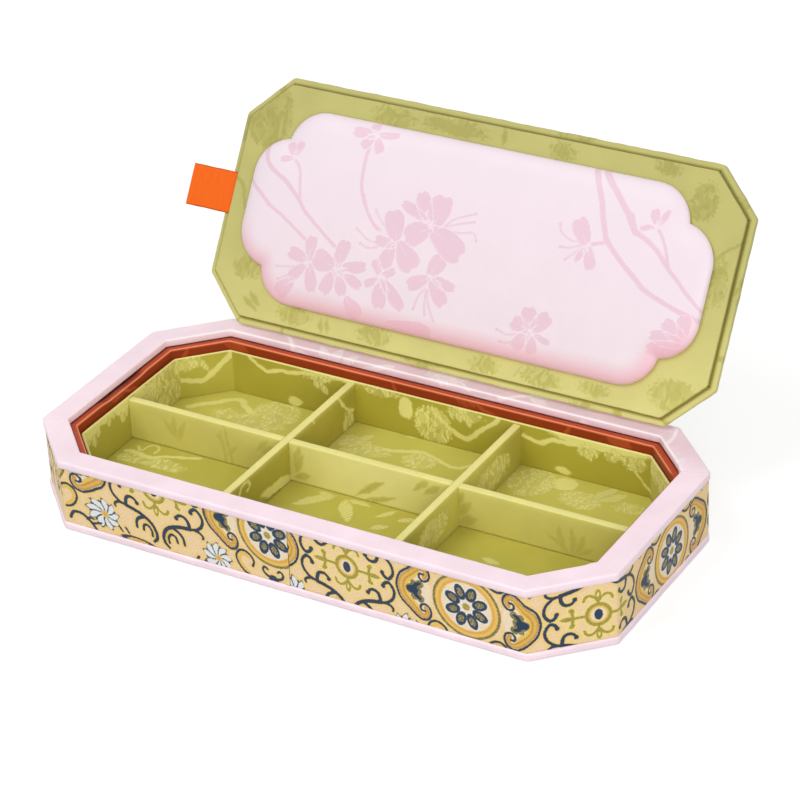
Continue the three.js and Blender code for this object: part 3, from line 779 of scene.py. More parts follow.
def damask(name, ground, painted_light_colour, figure, line, edge, ground_rough, figure_rough, mottle=0.05, fray=0.5,
           soft=0.3, veined=0.35, sheen=0.2, painted_brightening=0.0):
    """Silk damask: figures woven in satin on a twill ground of the same yarn, so they differ a little
    in colour and gloss, with a fine shaded line on and between them. By the piece's painted light the
    ground turns to a painted lit or shaded colour and the whole cloth is painted brighter by the share
    given, and along edges it turns to the edge colour, a painted highlight or painted shade."""
    material, tree = new_material(name)
    cloth = attribute(tree, "cloth", "Vector")
    layer = {key: attribute(tree, key) for key in ("figure", "vein", "cluster", "painted_light", "edge")}
    solid = broken_edge(tree, cloth, layer["figure"], fray, soft)
    cluster = broken_edge(tree, cloth, layer["cluster"], 5.0 * fray, soft)
    kept, between = grain_cells(tree, cloth)
    grains = calculate(tree, "MULTIPLY", cluster, kept)
    in_figure = calculate(tree, "MAXIMUM", solid, grains)
    vein = ramp(tree, layer["vein"], 0.34, 0.08, 0.0, veined)
    on_line = calculate(tree, "MAXIMUM", vein, calculate(tree, "MULTIPLY", grains, between))
    colour = linear(ground)
    # Painted light and shade: the ground's painted lit or shaded colour, then figures and lines, then the
    # edge colour.
    for share, tint in [(layer["painted_light"], painted_light_colour), (in_figure, figure), (on_line, line),
                        (layer["edge"], edge)]:
        colour = mix(tree, share, colour, linear(tint))
    shade = ramp(tree, noise(tree, cloth, 0.06, 3.0), 0.3, 0.7, 1 - mottle, 1 + mottle)
    # Painted light: the whole cloth is drawn brighter where its painted light is full.
    gain = calculate(tree, "MULTIPLY_ADD", layer["painted_light"], painted_brightening, 1.0)
    toned = shaded(tree, colour, calculate(tree, "MULTIPLY", shade, gain))
    rough = ramp(tree, in_figure, 0.0, 1.0, ground_rough, figure_rough)
    height = calculate(tree, "MULTIPLY_ADD", weave_height(tree, cloth, 0.45), 0.25, in_figure)
    surface(tree, toned, rough, bump(tree, height, 0.00005, 0.6), 0.35, sheen, 0.4)
    return material


def brocade(name):
    """Silk brocade: figures in coloured floating yarns over a pale ribbed ground. Each yarn's edge
    steps from thread to thread, the ground is yellower beside the figures, some yarns show only in
    flecks, and all of it is speckled where the yarns of the back show through."""
    material, tree = new_material(name)
    cloth = attribute(tree, "cloth", "Vector")
    fray = noise(tree, cloth, 1.8, 2.0)
    grain = noise(tree, cloth, 1.5, 3.0, 0.7)
    distance = {yarn: calculate(tree, "MULTIPLY_ADD", fray, 0.6, attribute(tree, yarn))
                for yarn in BROCADE_YARNS}
    # Yarn, the distances where it starts and where it is full, its share there, colour, and how much of
    # it is broken into flecks.
    steps = [("navy", 1.9, 0.5, 0.85, "#f2cf74", 0.35), ("olive", 1.7, 0.4, 0.9, "#f4dd84", 0.0),
             ("cream", 0.45, 0.15, 0.9, "#f2e0c2", 0.0), ("gold", 0.45, 0.2, 1.0, "#ecc25a", 0.2),
             ("orange", 0.5, 0.1, 0.75, "#dd9d46", 0.8), ("bronze", 0.45, 0.2, 1.0, "#c8952f", 0.3),
             ("bronze", -0.1, -0.7, 0.8, "#eec364", 0.7), ("olive", 0.45, 0.2, 1.0, "#a0923a", 0.35),
             ("moss", 0.45, 0.2, 1.0, "#766d34", 0.4), ("white", 0.45, 0.25, 0.9, "#e9eef0", 0.0),
             ("navy", 0.45, 0.22, 0.98, "#153450", 0.0)]
    colour = linear("#f3d5a6")
    for yarn, outer, inner, most, tint, broken in steps:
        amount = ramp(tree, distance[yarn], outer, inner, 0.0, most)
        flecks = ramp(tree, grain, 0.4, 0.5, 1.0 - broken, 1.0)
        colour = mix(tree, calculate(tree, "MULTIPLY", amount, flecks), colour, linear(tint))
    toned = shaded(tree, colour, ramp(tree, grain, 0.3, 0.7, 0.86, 1.1))
    raised = ramp(tree, distance["navy"], 0.6, 0.1)
    height = calculate(tree, "MULTIPLY_ADD", weave_height(tree, cloth, 0.5), 0.4, raised)
    surface(tree, toned, 0.55, bump(tree, height, 0.00008, 0.7), 0.25, 0.05, 0.5)
    return material


def ribbon_satin(name):
    """Orange satin ribbon: long weft floats with a soft streaky gloss, and firmer, darker selvedges."""
    material, tree = new_material(name)
    cloth = attribute(tree, "cloth", "Vector")
    streaks = calculate(tree, "MULTIPLY", cloth, (3.0, 0.12, 1.0), kind="VectorMath")
    satin = mix(tree, noise(tree, streaks, 1.0, 3.0), linear("#e85a0a"), linear("#f57012"))
    selvedge = ramp(tree, attribute(tree, "selvedge"), 0.6, 0.2)
    colour = mix(tree, selvedge, satin, linear("#d4520c"))
    threads = bump(tree, weave_height(tree, cloth, 0.35), 0.00003, 0.5)
    surface(tree, colour, 0.5, threads, 0.15, 0.03, 0.4)
    return material


def greyboard(name):
    """Pressed paper board: matt grey with short darker fibres, about a millimetre long."""
    material, tree = new_material(name)
    fibres = noise(tree, add(tree, "TexCoord").outputs["Object"], 900.0, 4.0)
    colour = mix(tree, fibres, linear("#8f8a80"), linear("#b5afa3"))
    surface(tree, colour, 0.9, bump(tree, fibres, 0.0001, 0.4), 0.2)
    return material


# Colours of the ground, of ground in painted light or shade, of figures, of fine lines and of painted
# highlight or shade along edges; then how rough the ground and the figures are.
# Pink damask: painted shadow of the lid on the rear rim, painted highlight on the inner top edge.
PINK_DAMASK = damask("pink_silk_damask", "#f9e2eb", "#ecced9", "#f8e8ef", "#d6b2c0", "#fdf4f8", 0.5, 0.42)
TRAY_DAMASK = damask("olive_silk_damask", "#a89d2d", "#ccc458", "#e3dc85", "#9a902d", "#e8e08a", 0.55, 0.45)
# Lit copy of the olive damask: lighter ground, darker figures, painted for the long divider's front.
PAINTED_LIT_TRAY_DAMASK = damask("olive_silk_damask_painted_lit", "#d4cc6e", "#efe899", "#c6bd5e", "#d0c76b", "#e6df89",
                       0.5, 0.5, fray=0.6, soft=0.5)
# The lid's olive damask: a copy painted lighter, brighter still towards the hinge and right end.
LID_DAMASK = damask("olive_silk_damask_lid", "#b8b269", "#bab36f", "#a49e50", "#afa85f", "#857c30",
                    0.5, 0.5, fray=0.6, soft=0.5, painted_brightening=0.34)
# Rust satin: the ledge painted lighter, and a painted highlight along the inner top edge.
RUST_SATIN = damask("rust_silk_satin", "#8c2d04", "#ae4014", "#aa461d", "#7c2706", "#f78c62", 0.5, 0.42,
                    sheen=0.03)
# Pink satin: its edge colour paints shade and a rose reflection on the pad's lower flank.
PINK_SATIN = damask("pink_silk_satin", "#e9d9e1", "#e9d9e1", "#e3c3d1", "#ebdce4", "#ecb2bf", 0.42, 0.4,
                    mottle=0.012, fray=0.15, soft=0.25, veined=0.9)
BROCADE_CLOTH = brocade("silk_brocade")
RIBBON_SATIN = ribbon_satin("orange_ribbon_satin")
GREYBOARD = greyboard("pressed_greyboard")


# The tray's pieces.


BASE_PITCH = 1.2


def base_wrap():
    """The bottom board, wrapped in the rim's damask."""
    points, quads, cloth, caps = wrapped_board(0, 0, BASE_TOP, BASE_SOFTNESS, BASE_PITCH)
    return make_piece("base_wrap", points, quads, cloth, PINK_DAMASK, "tray",
                      ["base_board"], PLAIN, caps)


SEAM_X = 1.3
BAND_PITCH = 0.32
BAND_GAP = 0.1
BAND_OVERLAP = 1.0
LIP_REACH = 2.5
RIGHT_STRIP_LAID = [(0, -71.1, 18.9), (23.2, -47, 17.6), (68.7, 0, 15.1), (96, 27.3, 13.6),
                    (164, 95.3, 13.2), (400, 331.3, 12.4)]
LEFT_STRIP_LAID = [(0, -8.1, 20.6), (8.1, 0, 21.3), (29.7, 23.5, 23.2), (54.3, 47, 26.3), (76.2, 69, 28),
                   (87.2, 77, 28.9), (104, 94, 30.1), (400, 390, 54.6)]


def brocade_strip(name, direction, laid, lip):
    """One strip of brocade round half of the box, glued on the walls with its long edges turned in.
    It starts at the seam in the middle of the front and ends in the middle of the back. How it was
    laid is given by rows of the way from the seam, the place in the pattern that lies there, and the
    level of the pattern's middle line."""
    levels = np.arange(BASE_TOP + BAND_GAP, LEDGE - BAND_GAP + BAND_PITCH / 2, BAND_PITCH)
    levels = np.concatenate([levels[:1], levels, levels[-1:]])
    turned = np.zeros(len(levels))
    turned[[0, -1]] = BAND_TURN_IN
    runs = run_steps(BAND_INSET, CORNER_RADIUS, BAND_PITCH)
    loop = octagon_loop(BAND_INSET, CORNER_RADIUS, runs)
    loop = np.roll(loop, -np.argmin(np.hypot(loop[:, 0] - SEAM_X, loop[:, 1] + DEPTH / 2)), 0)
    if direction < 0:
        loop = np.roll(loop[::-1], 1, 0)
    way = travelled(np.vstack([loop, loop[:1]]))
    half = way[:-1] <= way[-1] / 2 + BAND_OVERLAP
    line, way = loop[half], way[:-1][half]
    outward = direction * loop_normals(loop)[half]
    lifted = lip * (np.exp(-way / LIP_REACH) + np.exp((way - way[-1]) / LIP_REACH))
    points = lifted_to(line + outward * (lifted[None, :, None] - turned[:, None, None]), levels)
    from_seam, pattern, middle = np.array(laid, float).T
    tilt = (middle[-1] - middle[0]) / (from_seam[-1] - from_seam[0])
    rise = levels[:, None] - np.interp(way, from_seam, middle)
    layers = brocade_at(np.interp(way, from_seam, pattern) - rise * tilt, rise)
    cloth = row(way, levels[:, None]).reshape(-1, 2)
    piece = make_piece(name, points.reshape(-1, 3), grid_quads(*points.shape[:2]), cloth, BROCADE_CLOTH,
                       "tray", ["brocade_band"], layers)
    return piece


RIM_PITCH = 0.5
RIM_SHOULDER = (0.7, 0.55)
RIM_UNDERCUT = (0.25, 0.5)
RIM_SLUMP = 0.07
RIM_FOLD = 0.09
RIGHT_RIM_WIDER = 0.7


def rim_section():
    """Section of the rim: straight sides, shoulders as quarters of an oval, a nearly flat top, and an
    inner edge drawn back below where the cloth turns under."""
    out, up = RIM_SHOULDER
    back, rise = RIM_UNDERCUT
    turn = np.radians(90) * np.linspace(0, 1, 7)
    arc = row(out * (1 - np.cos(turn)), RIM_TOP - up * (1 - np.sin(turn)))
    top = row(np.arange(out, RIM_WIDTH - out, RIM_PITCH)[1:], RIM_TOP)
    inner_arc = arc[::-1] * (-1, 1) + (RIM_WIDTH, 0)
    outer_side = [(0.15, LEDGE), (0, LEDGE + 0.3), (0, LEDGE + 1.2)]
    inner_side = [(RIM_WIDTH, LEDGE + rise), (RIM_WIDTH - 0.3 * back, LEDGE + 0.6 * rise),
                  (RIM_WIDTH - back, LEDGE)]
    return np.concatenate([outer_side, arc, top, inner_arc, inner_side])


def mitre_fold(points):
    """One on the lines through the rim's eight corners, where its cloth is folded over itself, falling
    away within a third of a millimetre as a bell curve."""
    start = octagon_corners(0)
    inward = octagon_corners(RIM_WIDTH) - start
    inward /= np.linalg.norm(inward, axis=1, keepdims=True)
    way = points[..., None, :2] - start
    aside = np.abs(way[..., 0] * inward[:, 1] - way[..., 1] * inward[:, 0])
    aside = np.where(np.hypot(way[..., 0], way[..., 1]) < 2 * RIM_WIDTH, aside, FAR)
    return np.exp(-(aside.min(-1) / 0.3) ** 2)


def rim_wrap():
    """The rim frame, wrapped by hand: its edges wander a little, its corners are folded, and its right
    side is a little wider. The cloth's plain stretch lies in front and its figures behind. Behind, a
    painted highlight runs along the inner top edge, and the top is painted darker where the lid's
    shadow falls."""
    section = rim_section()
    points, cloth = carry_round(section, CORNER_RADIUS, RIM_PITCH)
    uneven = hand_wrapped(cloth[0, :, 0])
    shoulder = np.exp(-((section[:, 1] - RIM_TOP + 0.4) / 0.4) ** 2)
    points[..., 2] -= RIM_SLUMP * shoulder[:, None] * (1 + uneven)
    on_top = ease(section[:, 1], RIM_TOP - 0.8, RIM_TOP - 0.3)
    points[..., 2] -= RIM_FOLD * mitre_fold(points) * on_top[:, None]
    wider = ease(section[:, 0], 6, RIM_WIDTH)[:, None] * ease(points[..., 0], 102, 105.5)
    points[..., 0] -= RIGHT_RIM_WIDER * wider
    layers = damask_at(cloth[..., 0].ravel() + 20, cloth[..., 1].ravel() + 8)
    plain = 3 * FAR * ease(points[..., 1].ravel(), 38, 28)
    layers = {name: values + plain for name, values in layers.items()}
    # Painted shadow: the rear of the rim, left end aside, turns darker pink where the lid's shadow falls.
    layers["painted_light"] = ease(points[..., 1].ravel(), 30, 48) * ease(points[..., 0].ravel(), -95, -65)
    # Painted highlight: a pale line along the inner top edge, only behind.
    painted_highlight = np.exp(-((section[:, 0] - RIM_WIDTH + 0.45) / 0.3) ** 2) * (section[:, 1] > RIM_TOP - 0.7)
    layers["edge"] = painted_highlight[:, None] * ease(points[..., 1], 26, 40)
    quads = grid_quads(*points.shape[:2], close_rows=True, close_cols=True)
    return make_piece("rim_wrap", points.reshape(-1, 3), quads, cloth.reshape(-1, 2), PINK_DAMASK, "tray",
                      ["rim_frame"], layers)


COLLAR_PITCH = 0.6
COLLAR_GROOVE = (9.0, 0.35)
RIBBON_BED = 0.5


def collar_wrap():
    """The rust collar: a board that stands inside the rim, with a groove between them, a narrow top
    painted lighter for the light that falls on it, with a painted highlight along its inner edge, and a
    face down to the base. Its top is pressed in where the ribbon lies when the lid is closed."""
    outer, inner = COLLAR
    groove, depth = COLLAR_GROOVE
    soft = 0.4
    turn = np.radians(90) * np.linspace(0, 1, 6)
    rise = row(groove + soft * (1 - np.cos(turn)), LEDGE - soft * (1 - np.sin(turn)))
    top = row(np.arange(groove + soft, inner - soft, 0.3)[1:], LEDGE)
    fall = rise[::-1] * (-1, 1) + (groove + inner, 0)
    face = row(inner, np.arange(LEDGE - soft - 0.5, TRAY_WALL_TOP - 1, -0.5))
    section = np.concatenate([[(outer, BASE_TOP), (outer, LEDGE - depth), (groove, LEDGE - depth)], rise,
                              top, fall, face, [(inner, BASE_TOP)]])
    points, cloth = carry_round(section, CORNER_RADIUS, COLLAR_PITCH)
    half = RIBBON_WIDTH / 2
    under_ribbon = ease(points[..., 0], -102.5, -103.3) * ease(np.abs(points[..., 1]), half + 8, half + 0.5)
    points[..., 2] -= RIBBON_BED * under_ribbon * ease(section[:, 1], LEDGE - 1.4, LEDGE - 0.5)[:, None]
    layers = damask_at(cloth[..., 0].ravel() + 70, cloth[..., 1].ravel() + 40)
    # Painted highlight: a pale line along the inner top edge, faded out on the right-hand face.
    painted_highlight = np.exp(-(np.hypot(section[:, 0] - inner + 0.2, section[:, 1] - LEDGE + 0.15) / 0.3) ** 2)
    layers["edge"] = painted_highlight[:, None] * ease(points[..., 0], 103, 99)
    # Painted light: the top of the collar is drawn in its lighter colour.
    layers["painted_light"] = ease(points[..., 2], LEDGE - 0.4, LEDGE - 0.1)
    quads = grid_quads(*points.shape[:2], close_rows=True, close_cols=True)
    return make_piece("collar_wrap", points.reshape(-1, 3), quads, cloth.reshape(-1, 2), RUST_SATIN, "tray",
                      ["collar_" + face for face in FACE_NAMES], layers)


LINING_PITCH = 0.55
FLOOR_SOFTNESS = 0.3
# Each front-facing wall's figures, and how much lighter its ground is painted for the light it gets.
WALL_GARDENS = {"back_right": (BACK_RIGHT_GARDEN, 0.5), "back": (REAR_GARDEN, 0.15),
                "back_left": (BACK_LEFT_GARDEN, 0.5), "left": (LEFT_GARDEN, 0.3)}


def tray_wall_lining():
    """The tray's walls: thin board lined on the inside, over a rounded top edge and down behind. The
    walls that face the front show their own figures, each painted lighter or darker for the light that
    falls on it, and the top edge is painted pale as a highlight."""
    outer, inner = TRAY_WALL
    half = (inner - outer) / 2
    up = np.arange(TRAY_FLOOR_TOP - 0.8, TRAY_WALL_TOP - half, LINING_PITCH)
    turn = np.radians(180) * np.linspace(0, 1, 9)
    arc = row(outer + half + half * np.cos(turn), TRAY_WALL_TOP - half + half * np.sin(turn))
    section = np.concatenate([row(inner, up), arc, [(outer, up[0])]])
    points, cloth = carry_round(section, CORNER_RADIUS, LINING_PITCH)
    points, cloth = points.reshape(-1, 3), cloth.reshape(-1, 2)
    layers = damask_at(cloth[:, 0] + 12, cloth[:, 1] + 20)
    # Painted light: every wall's ground is drawn partly lit, each front-facing wall by its own share.
    layers["painted_light"] = np.full(len(points), 0.4)
    for face, (figures, painted_light) in WALL_GARDENS.items():
        on_it, along = on_face(points, FACE_NAMES.index(face), inner)
        for name, values in garden(along[on_it], points[on_it, 2], **figures).items():
            layers[name][on_it] = values
        layers["painted_light"][on_it] = painted_light
    # Painted highlight: the rounded top edge turns pale.
    layers["edge"] = ease(points[:, 2], TRAY_WALL_TOP - half, TRAY_WALL_TOP - 0.15)
    quads = grid_quads(len(section), len(points) // len(section), close_rows=True, close_cols=True)
    return make_piece("tray_wall_lining", points + INSERT_MIDDLE, quads, cloth, TRAY_DAMASK,
                      "tray", ["tray_wall_" + face for face in FACE_NAMES], layers)


def tray_floor_lining():
    """The tray's floor under all six compartments, in one cloth."""
    points, quads, cloth, caps = wrapped_board(TRAY_FIT, BASE_TOP, TRAY_FLOOR_TOP, FLOOR_SOFTNESS,
                                               LINING_PITCH, back_band=1.0)
    layers = garden(cloth[:, 0], cloth[:, 1], **FLOOR_GARDEN)
    # Painted light: the floor's ground is drawn lighter towards the back row of compartments.
    layers["painted_light"] = 0.6 + 0.35 * ease(cloth[:, 1], -6, 6)
    return make_piece("tray_floor_lining", points + INSERT_MIDDLE, quads, cloth, TRAY_DAMASK, "tray",
                      ["tray_floor"], layers, caps)


def divider(name, half_length, crosses, along_x, offset, material, painted_light, figures):
    """A board on edge, wrapped over its flat top. Its section is two sides, two small quarter-rounds
    and the top between them. Where a crossing board is halved into it, the top of a board along x, or
    the bottom of one across, steps to mid height. Its painted light is strongest in the middle of its
    length, and a painted highlight lightens its top and the upper part of its sides."""
    middle = (TRAY_FLOOR_TOP + DIVIDER_TOP) / 2
    slot = DIVIDER_THICKNESS / 2 + SLOT_GAP
    step = 0.02
    stations = [np.arange(-half_length, half_length, LINING_PITCH), [half_length]]
    for place in crosses:
        stations.append(place + np.array([-slot - step, -slot, slot, slot + step]))
    way = np.unique(np.concatenate(stations))
    in_slot = np.any([np.abs(way - place) <= slot + step / 2 for place in crosses], axis=0)
    low = np.full(len(way), TRAY_FLOOR_TOP + 0.2)
    high = np.full(len(way), DIVIDER_TOP)
    if along_x:
        high[in_slot] = middle - SLOT_GAP / 2
    else:
        low[in_slot] = middle + SLOT_GAP / 2
    half, soft = DIVIDER_THICKNESS / 2, DIVIDER_SOFTNESS
    turn = np.radians(90) * np.linspace(0, 1, 5)
    share = np.linspace(0, 1, 30)[:-1]
    rise = low + share[:, None] * (high - soft - low)
    shoulder = high - soft * (1 - np.sin(turn))[:, None]
    side = np.concatenate([np.full(len(share), half), half - soft * (1 - np.cos(turn)), [0.2]])
    height = np.concatenate([rise, shoulder, high[None]])
    side, height = np.concatenate([side, -side[::-1]]), np.concatenate([height, height[::-1]])
    across = np.broadcast_to(side[:, None], height.shape)
    along = np.broadcast_to(way, height.shape)
    order = [along, across + offset, height] if along_x else [across + offset, along, height]
    points = np.stack(order, -1)
    number = np.arange(height.size).reshape(height.shape)
    cloth = np.stack([along, np.sign(across) * (height - DIVIDER_TOP)], -1).reshape(-1, 2)
    layers = garden(along.ravel() + half_length, height.ravel(), **figures)
    # Painted highlight: the sides grow paler towards the top, and the top itself turns pale.
    layers["edge"] = (0.25 * ease(height, DIVIDER_TOP - 3.0, DIVIDER_TOP - 0.6)
                      + 0.75 * ease(height, DIVIDER_TOP - 0.6, DIVIDER_TOP - 0.05))
    # Painted light: the ground is drawn lighter by the given share, most in the middle.
    layers["painted_light"] = painted_light * np.exp(-(along / 30) ** 2)
    quads = grid_quads(*height.shape, close_rows=True)
    caps = [number[::-1, 0], number[:, -1]]
    return make_piece(name + "_wrap", points.reshape(-1, 3) + INSERT_MIDDLE, quads, cloth, material, "tray",
                      [name], layers, caps)


# The lid's pieces, worked out closed: inside face down.

LID_BOARD_PITCH = 0.7
LID_PANEL_PITCH = 0.6


def lid_painted_light(points):
    """Painted light on the lid's cloth: drawn brighter towards the hinge and the right end."""
    return ease(0.1 * points[:, 0] + points[:, 1], -10, 60)


def lid_board_wrap():
    """The lid's outer board, wrapped all round; its face is the lid's outside. A painted shade runs round
    its inside border, a dark line where the panel is glued on and the join lies in shade."""
    points, quads, cloth, caps = wrapped_board(LID_INSET, *LID_BOARD, LID_BOARD_SOFTNESS, LID_BOARD_PITCH)
    layers = damask_at(cloth[:, 0] + 30, cloth[:, 1] + 55)
    # Painted light, as on the lid's other cloth.
    layers["painted_light"] = lid_painted_light(points)
    inset = np.min(FACE_REACH - points[:, :2] @ unit(FACE_ANGLE[:8]).T, axis=1)
    # Painted shade: a dark line on the inside face along the panel's foot.
    painted_join_shade = ease(inset, LID_PANEL_INSET - 1.3, LID_PANEL_INSET - 0.4)
    layers["edge"] = painted_join_shade * (points[:, 2] < LID_BOARD[0] + 0.5)
    return make_piece("lid_board_wrap", open_lid(points), quads, cloth, LID_DAMASK, "lid",
                      ["lid_board"], layers, caps)


def lid_panel_wrap():
    """The raised panel inside the lid; its face looks down into the tray when the lid is closed."""
    face, back = LID_PANEL
    points, quads, cloth, caps = wrapped_board(LID_PANEL_INSET, back, face, LID_PANEL_SOFTNESS,
                                               LID_PANEL_PITCH)
    layers = garden(cloth[:, 0], cloth[:, 1], **LID_GARDEN)
    # Painted light, as on the lid's other cloth.
    layers["painted_light"] = lid_painted_light(points)
    # Painted shade: the panel's sides darken towards the board they stand on.
    layers["edge"] = 0.7 * ease(points[:, 2], face + 0.6, back - 0.2)
    return make_piece("lid_panel_wrap", open_lid(points), quads, cloth, LID_DAMASK, "lid",
                      ["lid_panel"], layers, caps)


PAD_SHOULDER = 8.5
OUTLINE_STEPS = 17
FINE_OUTLINE_STEPS = 200


def lobe_outline(steps):
    """Quarter of the cushion's outline from its end to its long side: a side lobe and an edge lobe,
    each an arc through the sweep, which meet at a cusp one step in from both sides."""
    half_x, half_y = CUSHION_HALF
    radius = CUSHION_STEP / (1 - np.cos(LOBE_SWEEP))
    cusp = np.array([half_x - CUSHION_STEP, half_y - CUSHION_STEP])
    side = np.array([half_x - radius, cusp[1] - radius * np.sin(LOBE_SWEEP)])
    edge = np.array([cusp[0] - radius * np.sin(LOBE_SWEEP), half_y - radius])
    turn = np.linspace(0, 1, steps)
    return np.concatenate([side + radius * unit(LOBE_SWEEP * turn),
                           (edge + radius * unit(np.pi / 2 - LOBE_SWEEP * turn[::-1]))[1:]])


def graded(half, coarse, fine, border):
    """Places from -half to half: coarse steps, and fine ones near both ends."""
    inner = half - border
    ends = np.arange(inner, half, fine)[1:]
    middle = np.linspace(-inner, inner, int(2 * inner / coarse) + 1)
    return np.concatenate([[-half], -ends[::-1], middle, ends, [half]])


def from_outline(x, y, outline):
    """How far places on the cushion are from its outline, which mirrors in both axes."""
    quarter = np.vstack([[outline[0][0], 0], outline, [0, outline[-1][1]]])
    ax, ay = np.abs(x), np.abs(y)
    away = np.full(x.shape, 99.0)
    for (px, py), (dx, dy) in zip(quarter, np.diff(quarter, axis=0)):
        t = np.clip(((ax - px) * dx + (ay - py) * dy) / (dx * dx + dy * dy), 0, 1)
        away = np.minimum(away, np.hypot(ax - px - t * dx, ay - py - t * dy))
    return away


def cushion_height(away):
    """Pad height over its back: an oval shoulder near the outline and then a slow rise to the crown."""
    foot, brim, crown_reach = 0.8, 0.92 * CUSHION_CROWN, 30
    lean = np.clip(1 - away / PAD_SHOULDER, 0, 1)
    slow_rise = (CUSHION_CROWN - brim) * np.clip(away / crown_reach, 0, 1) ** 0.6
    return foot + (brim - foot) * np.sqrt(1 - lean ** 2) + slow_rise


# Blossoms of the lid's pad, by their petals: foot, tip and half width. Then its stamens and boughs.
PETALS = [(-13.5, -4.5, -12, -15.8, 4.7), (-16, -5, -22, -15.4, 3.0), (-16.5, -5, -28.6, -10.1, 2.0),
          (-15.4, -2.6, -24.6, 2.8, 4.3), (-13, -2.1, 0.4, 5.2, 4.8),
          (-27.4, 3.4, -31.6, -6.9, 4.0), (-28, 5.8, -36, 5.4, 2.2), (-28.8, 6, -29.9, 15.8, 3.0),
          (-25, 5.6, -17.6, 13.6, 4.3),
          (-10.5, 13.6, -7.6, 6.1, 3.4), (-8.8, 14.6, 0.8, 16.9, 2.0), (-9.7, 15.6, -2.6, 23.6, 2.9),
          (-11.1, 15, -19.1, 19.2, 2.7),
          (-29.8, 17.8, -24.4, 14.6, 1.8), (-29.8, 19.6, -28.4, 30, 3.1), (-29.2, 19.2, -18.2, 28.8, 2.3),
          (-31, 19.3, -36.6, 22.6, 1.7), (-30.8, 17.5, -34.3, 12.5, 1.7),
          (-48.6, 17.4, -47.3, 7.8, 2.9), (-50.2, 18.6, -59.4, 16.2, 3.9), (-49.6, 20.6, -52.6, 29, 2.9),
          (-47.8, 20.4, -44, 28.6, 2.5), (-47, 19.6, -37, 23.8, 2.0), (-47.2, 18.2, -36.2, 16, 2.4),
          (-60.7, 17.6, -61.5, 8.9, 2.4), (-62, 18.6, -70.2, 16, 2.6), (-60, 20.4, -56.8, 30, 2.5),
          (-62, 20.4, -68, 27, 2.3), (-66, 27, -72, 33.4, 3.0), (-42, 29, -36, 35, 3.2),
          (-22.5, 34.4, -5, 34.8, 3.4),
          (-46, -31.6, -55.6, -32, 2.2), (-46.6, -30.8, -50.6, -26.2, 2.1), (-45, -30.8, -42, -25.4, 2.0),
          (-45, -32, -35.8, -33.2, 1.5), (-46, -32.8, -47.4, -36, 2.0),
          (32.4, 24, 30.5, 16.4, 3.0), (33.6, 24.4, 39.4, 18, 3.2), (31.8, 25, 24.8, 22.6, 2.6),
          (32, 26, 27.8, 32.6, 2.6), (33.4, 26.2, 35.4, 33.2, 2.2), (34, 25.4, 42, 28.2, 1.3),
          (91, 18.5, 77, 22, 2.6), (91, 17.5, 77.6, 16.6, 2.5), (91, 16.5, 81.4, 10.8, 2.7),
          (90.4, 15, 88.6, 7, 2.6),
          (46.6, -9.6, 41, -18, 3.3), (47.8, -8.6, 50.4, -0.4, 2.3), (47, -8.6, 43.8, -2, 1.3),
          (71.8, -20.6, 74.6, -27.6, 1.3), (71.4, -20.8, 68.6, -27, 1.9), (71, -20.4, 64.8, -18.6, 1.1),
          (-76.6, -18, -80.4, -23.2, 1.8), (-76.4, -18, -74.8, -24.4, 1.5), (-77, -17.6, -83, -15.8, 1.3)]
STAMENS = [[(-9.5, -4.5), (-6, -8), (1.8, -11.5)], [(-9, -4.5), (-5, -6.2), (2, -8.5)],
           [(-8.5, -3.8), (-3, -3.5), (2.5, -4.5), (4.3, -2)],
           [(-34, 2), (-40, -2), (-44.5, -9.5)], [(-34, -0.5), (-36.5, -3), (-38.2, -5.2)],
           [(-33.5, 6.5), (-39, 6), (-44, 3)], [(-34, 8), (-38, 9), (-41.5, 8)],
           [(-11.5, 19), (-13.5, 22), (-14.5, 27)], [(-11, 19.5), (-10.5, 24), (-9.5, 28)],
           [(-10.5, 19), (-9, 24), (-5.5, 29.5)], [(-63, 21), (-68, 22), (-74, 23)],
           [(-63, 22.5), (-68, 25), (-72, 27.5)], [(45.6, -9.6), (41, -9.5), (36.5, -11.5), (35, -14.5)],
           [(45.6, -9), (41, -7), (37, -6.5)], [(45.8, -8.4), (42.5, -5), (40, -2.5)],
           [(31, 25.6), (25, 28), (20, 27)], [(31, 26.4), (26, 30.5), (22, 31)]]
BOUGHS = [([(43.1, -36), (48.1, -26.3), (52.5, -15), (55, -11.3), (65, -3.1), (75, 3.1), (95, 9)], 2.2, 1.7),
          ([(47, -36), (56.3, -26.3), (61.3, -21.3), (63.8, -17.5), (72.5, -13.1), (80, -6.3), (95, 6)],
           2.4, 1.3),
          ([(60.5, -22.5), (62, -20), (64, -17)], 3.2, 2.2),
          ([(-90, -22), (-87.5, -13.8), (-77.5, -8.1), (-70.6, -2.5), (-65, 2.5), (-51.3, 11.3)], 1.9, 1.3),
          ([(-95, -7.5), (-83.8, 0.6), (-75, 5), (-62.5, 11.9)], 1.6, 1.1),
          ([(-46.5, -30), (-47.2, -26.2), (-46.9, -15), (-43.7, -6.9), (-38.7, -0.6), (-35.6, 1.9)],
           1.5, 1.1),
          ([(71.9, -20), (75, -16), (78.5, -9), (79.5, -6.5)], 1.2, 1.0),
          ([(-76.5, -17), (-73.5, -13.8), (-71.5, -7.5), (-70.3, -2.3)], 1.2, 1.0),
          ([(48, -9.5), (53, -11)], 1.4, 1.2)]
PETAL_FULLNESS = 1.45
PETAL_ROOT = 0.16


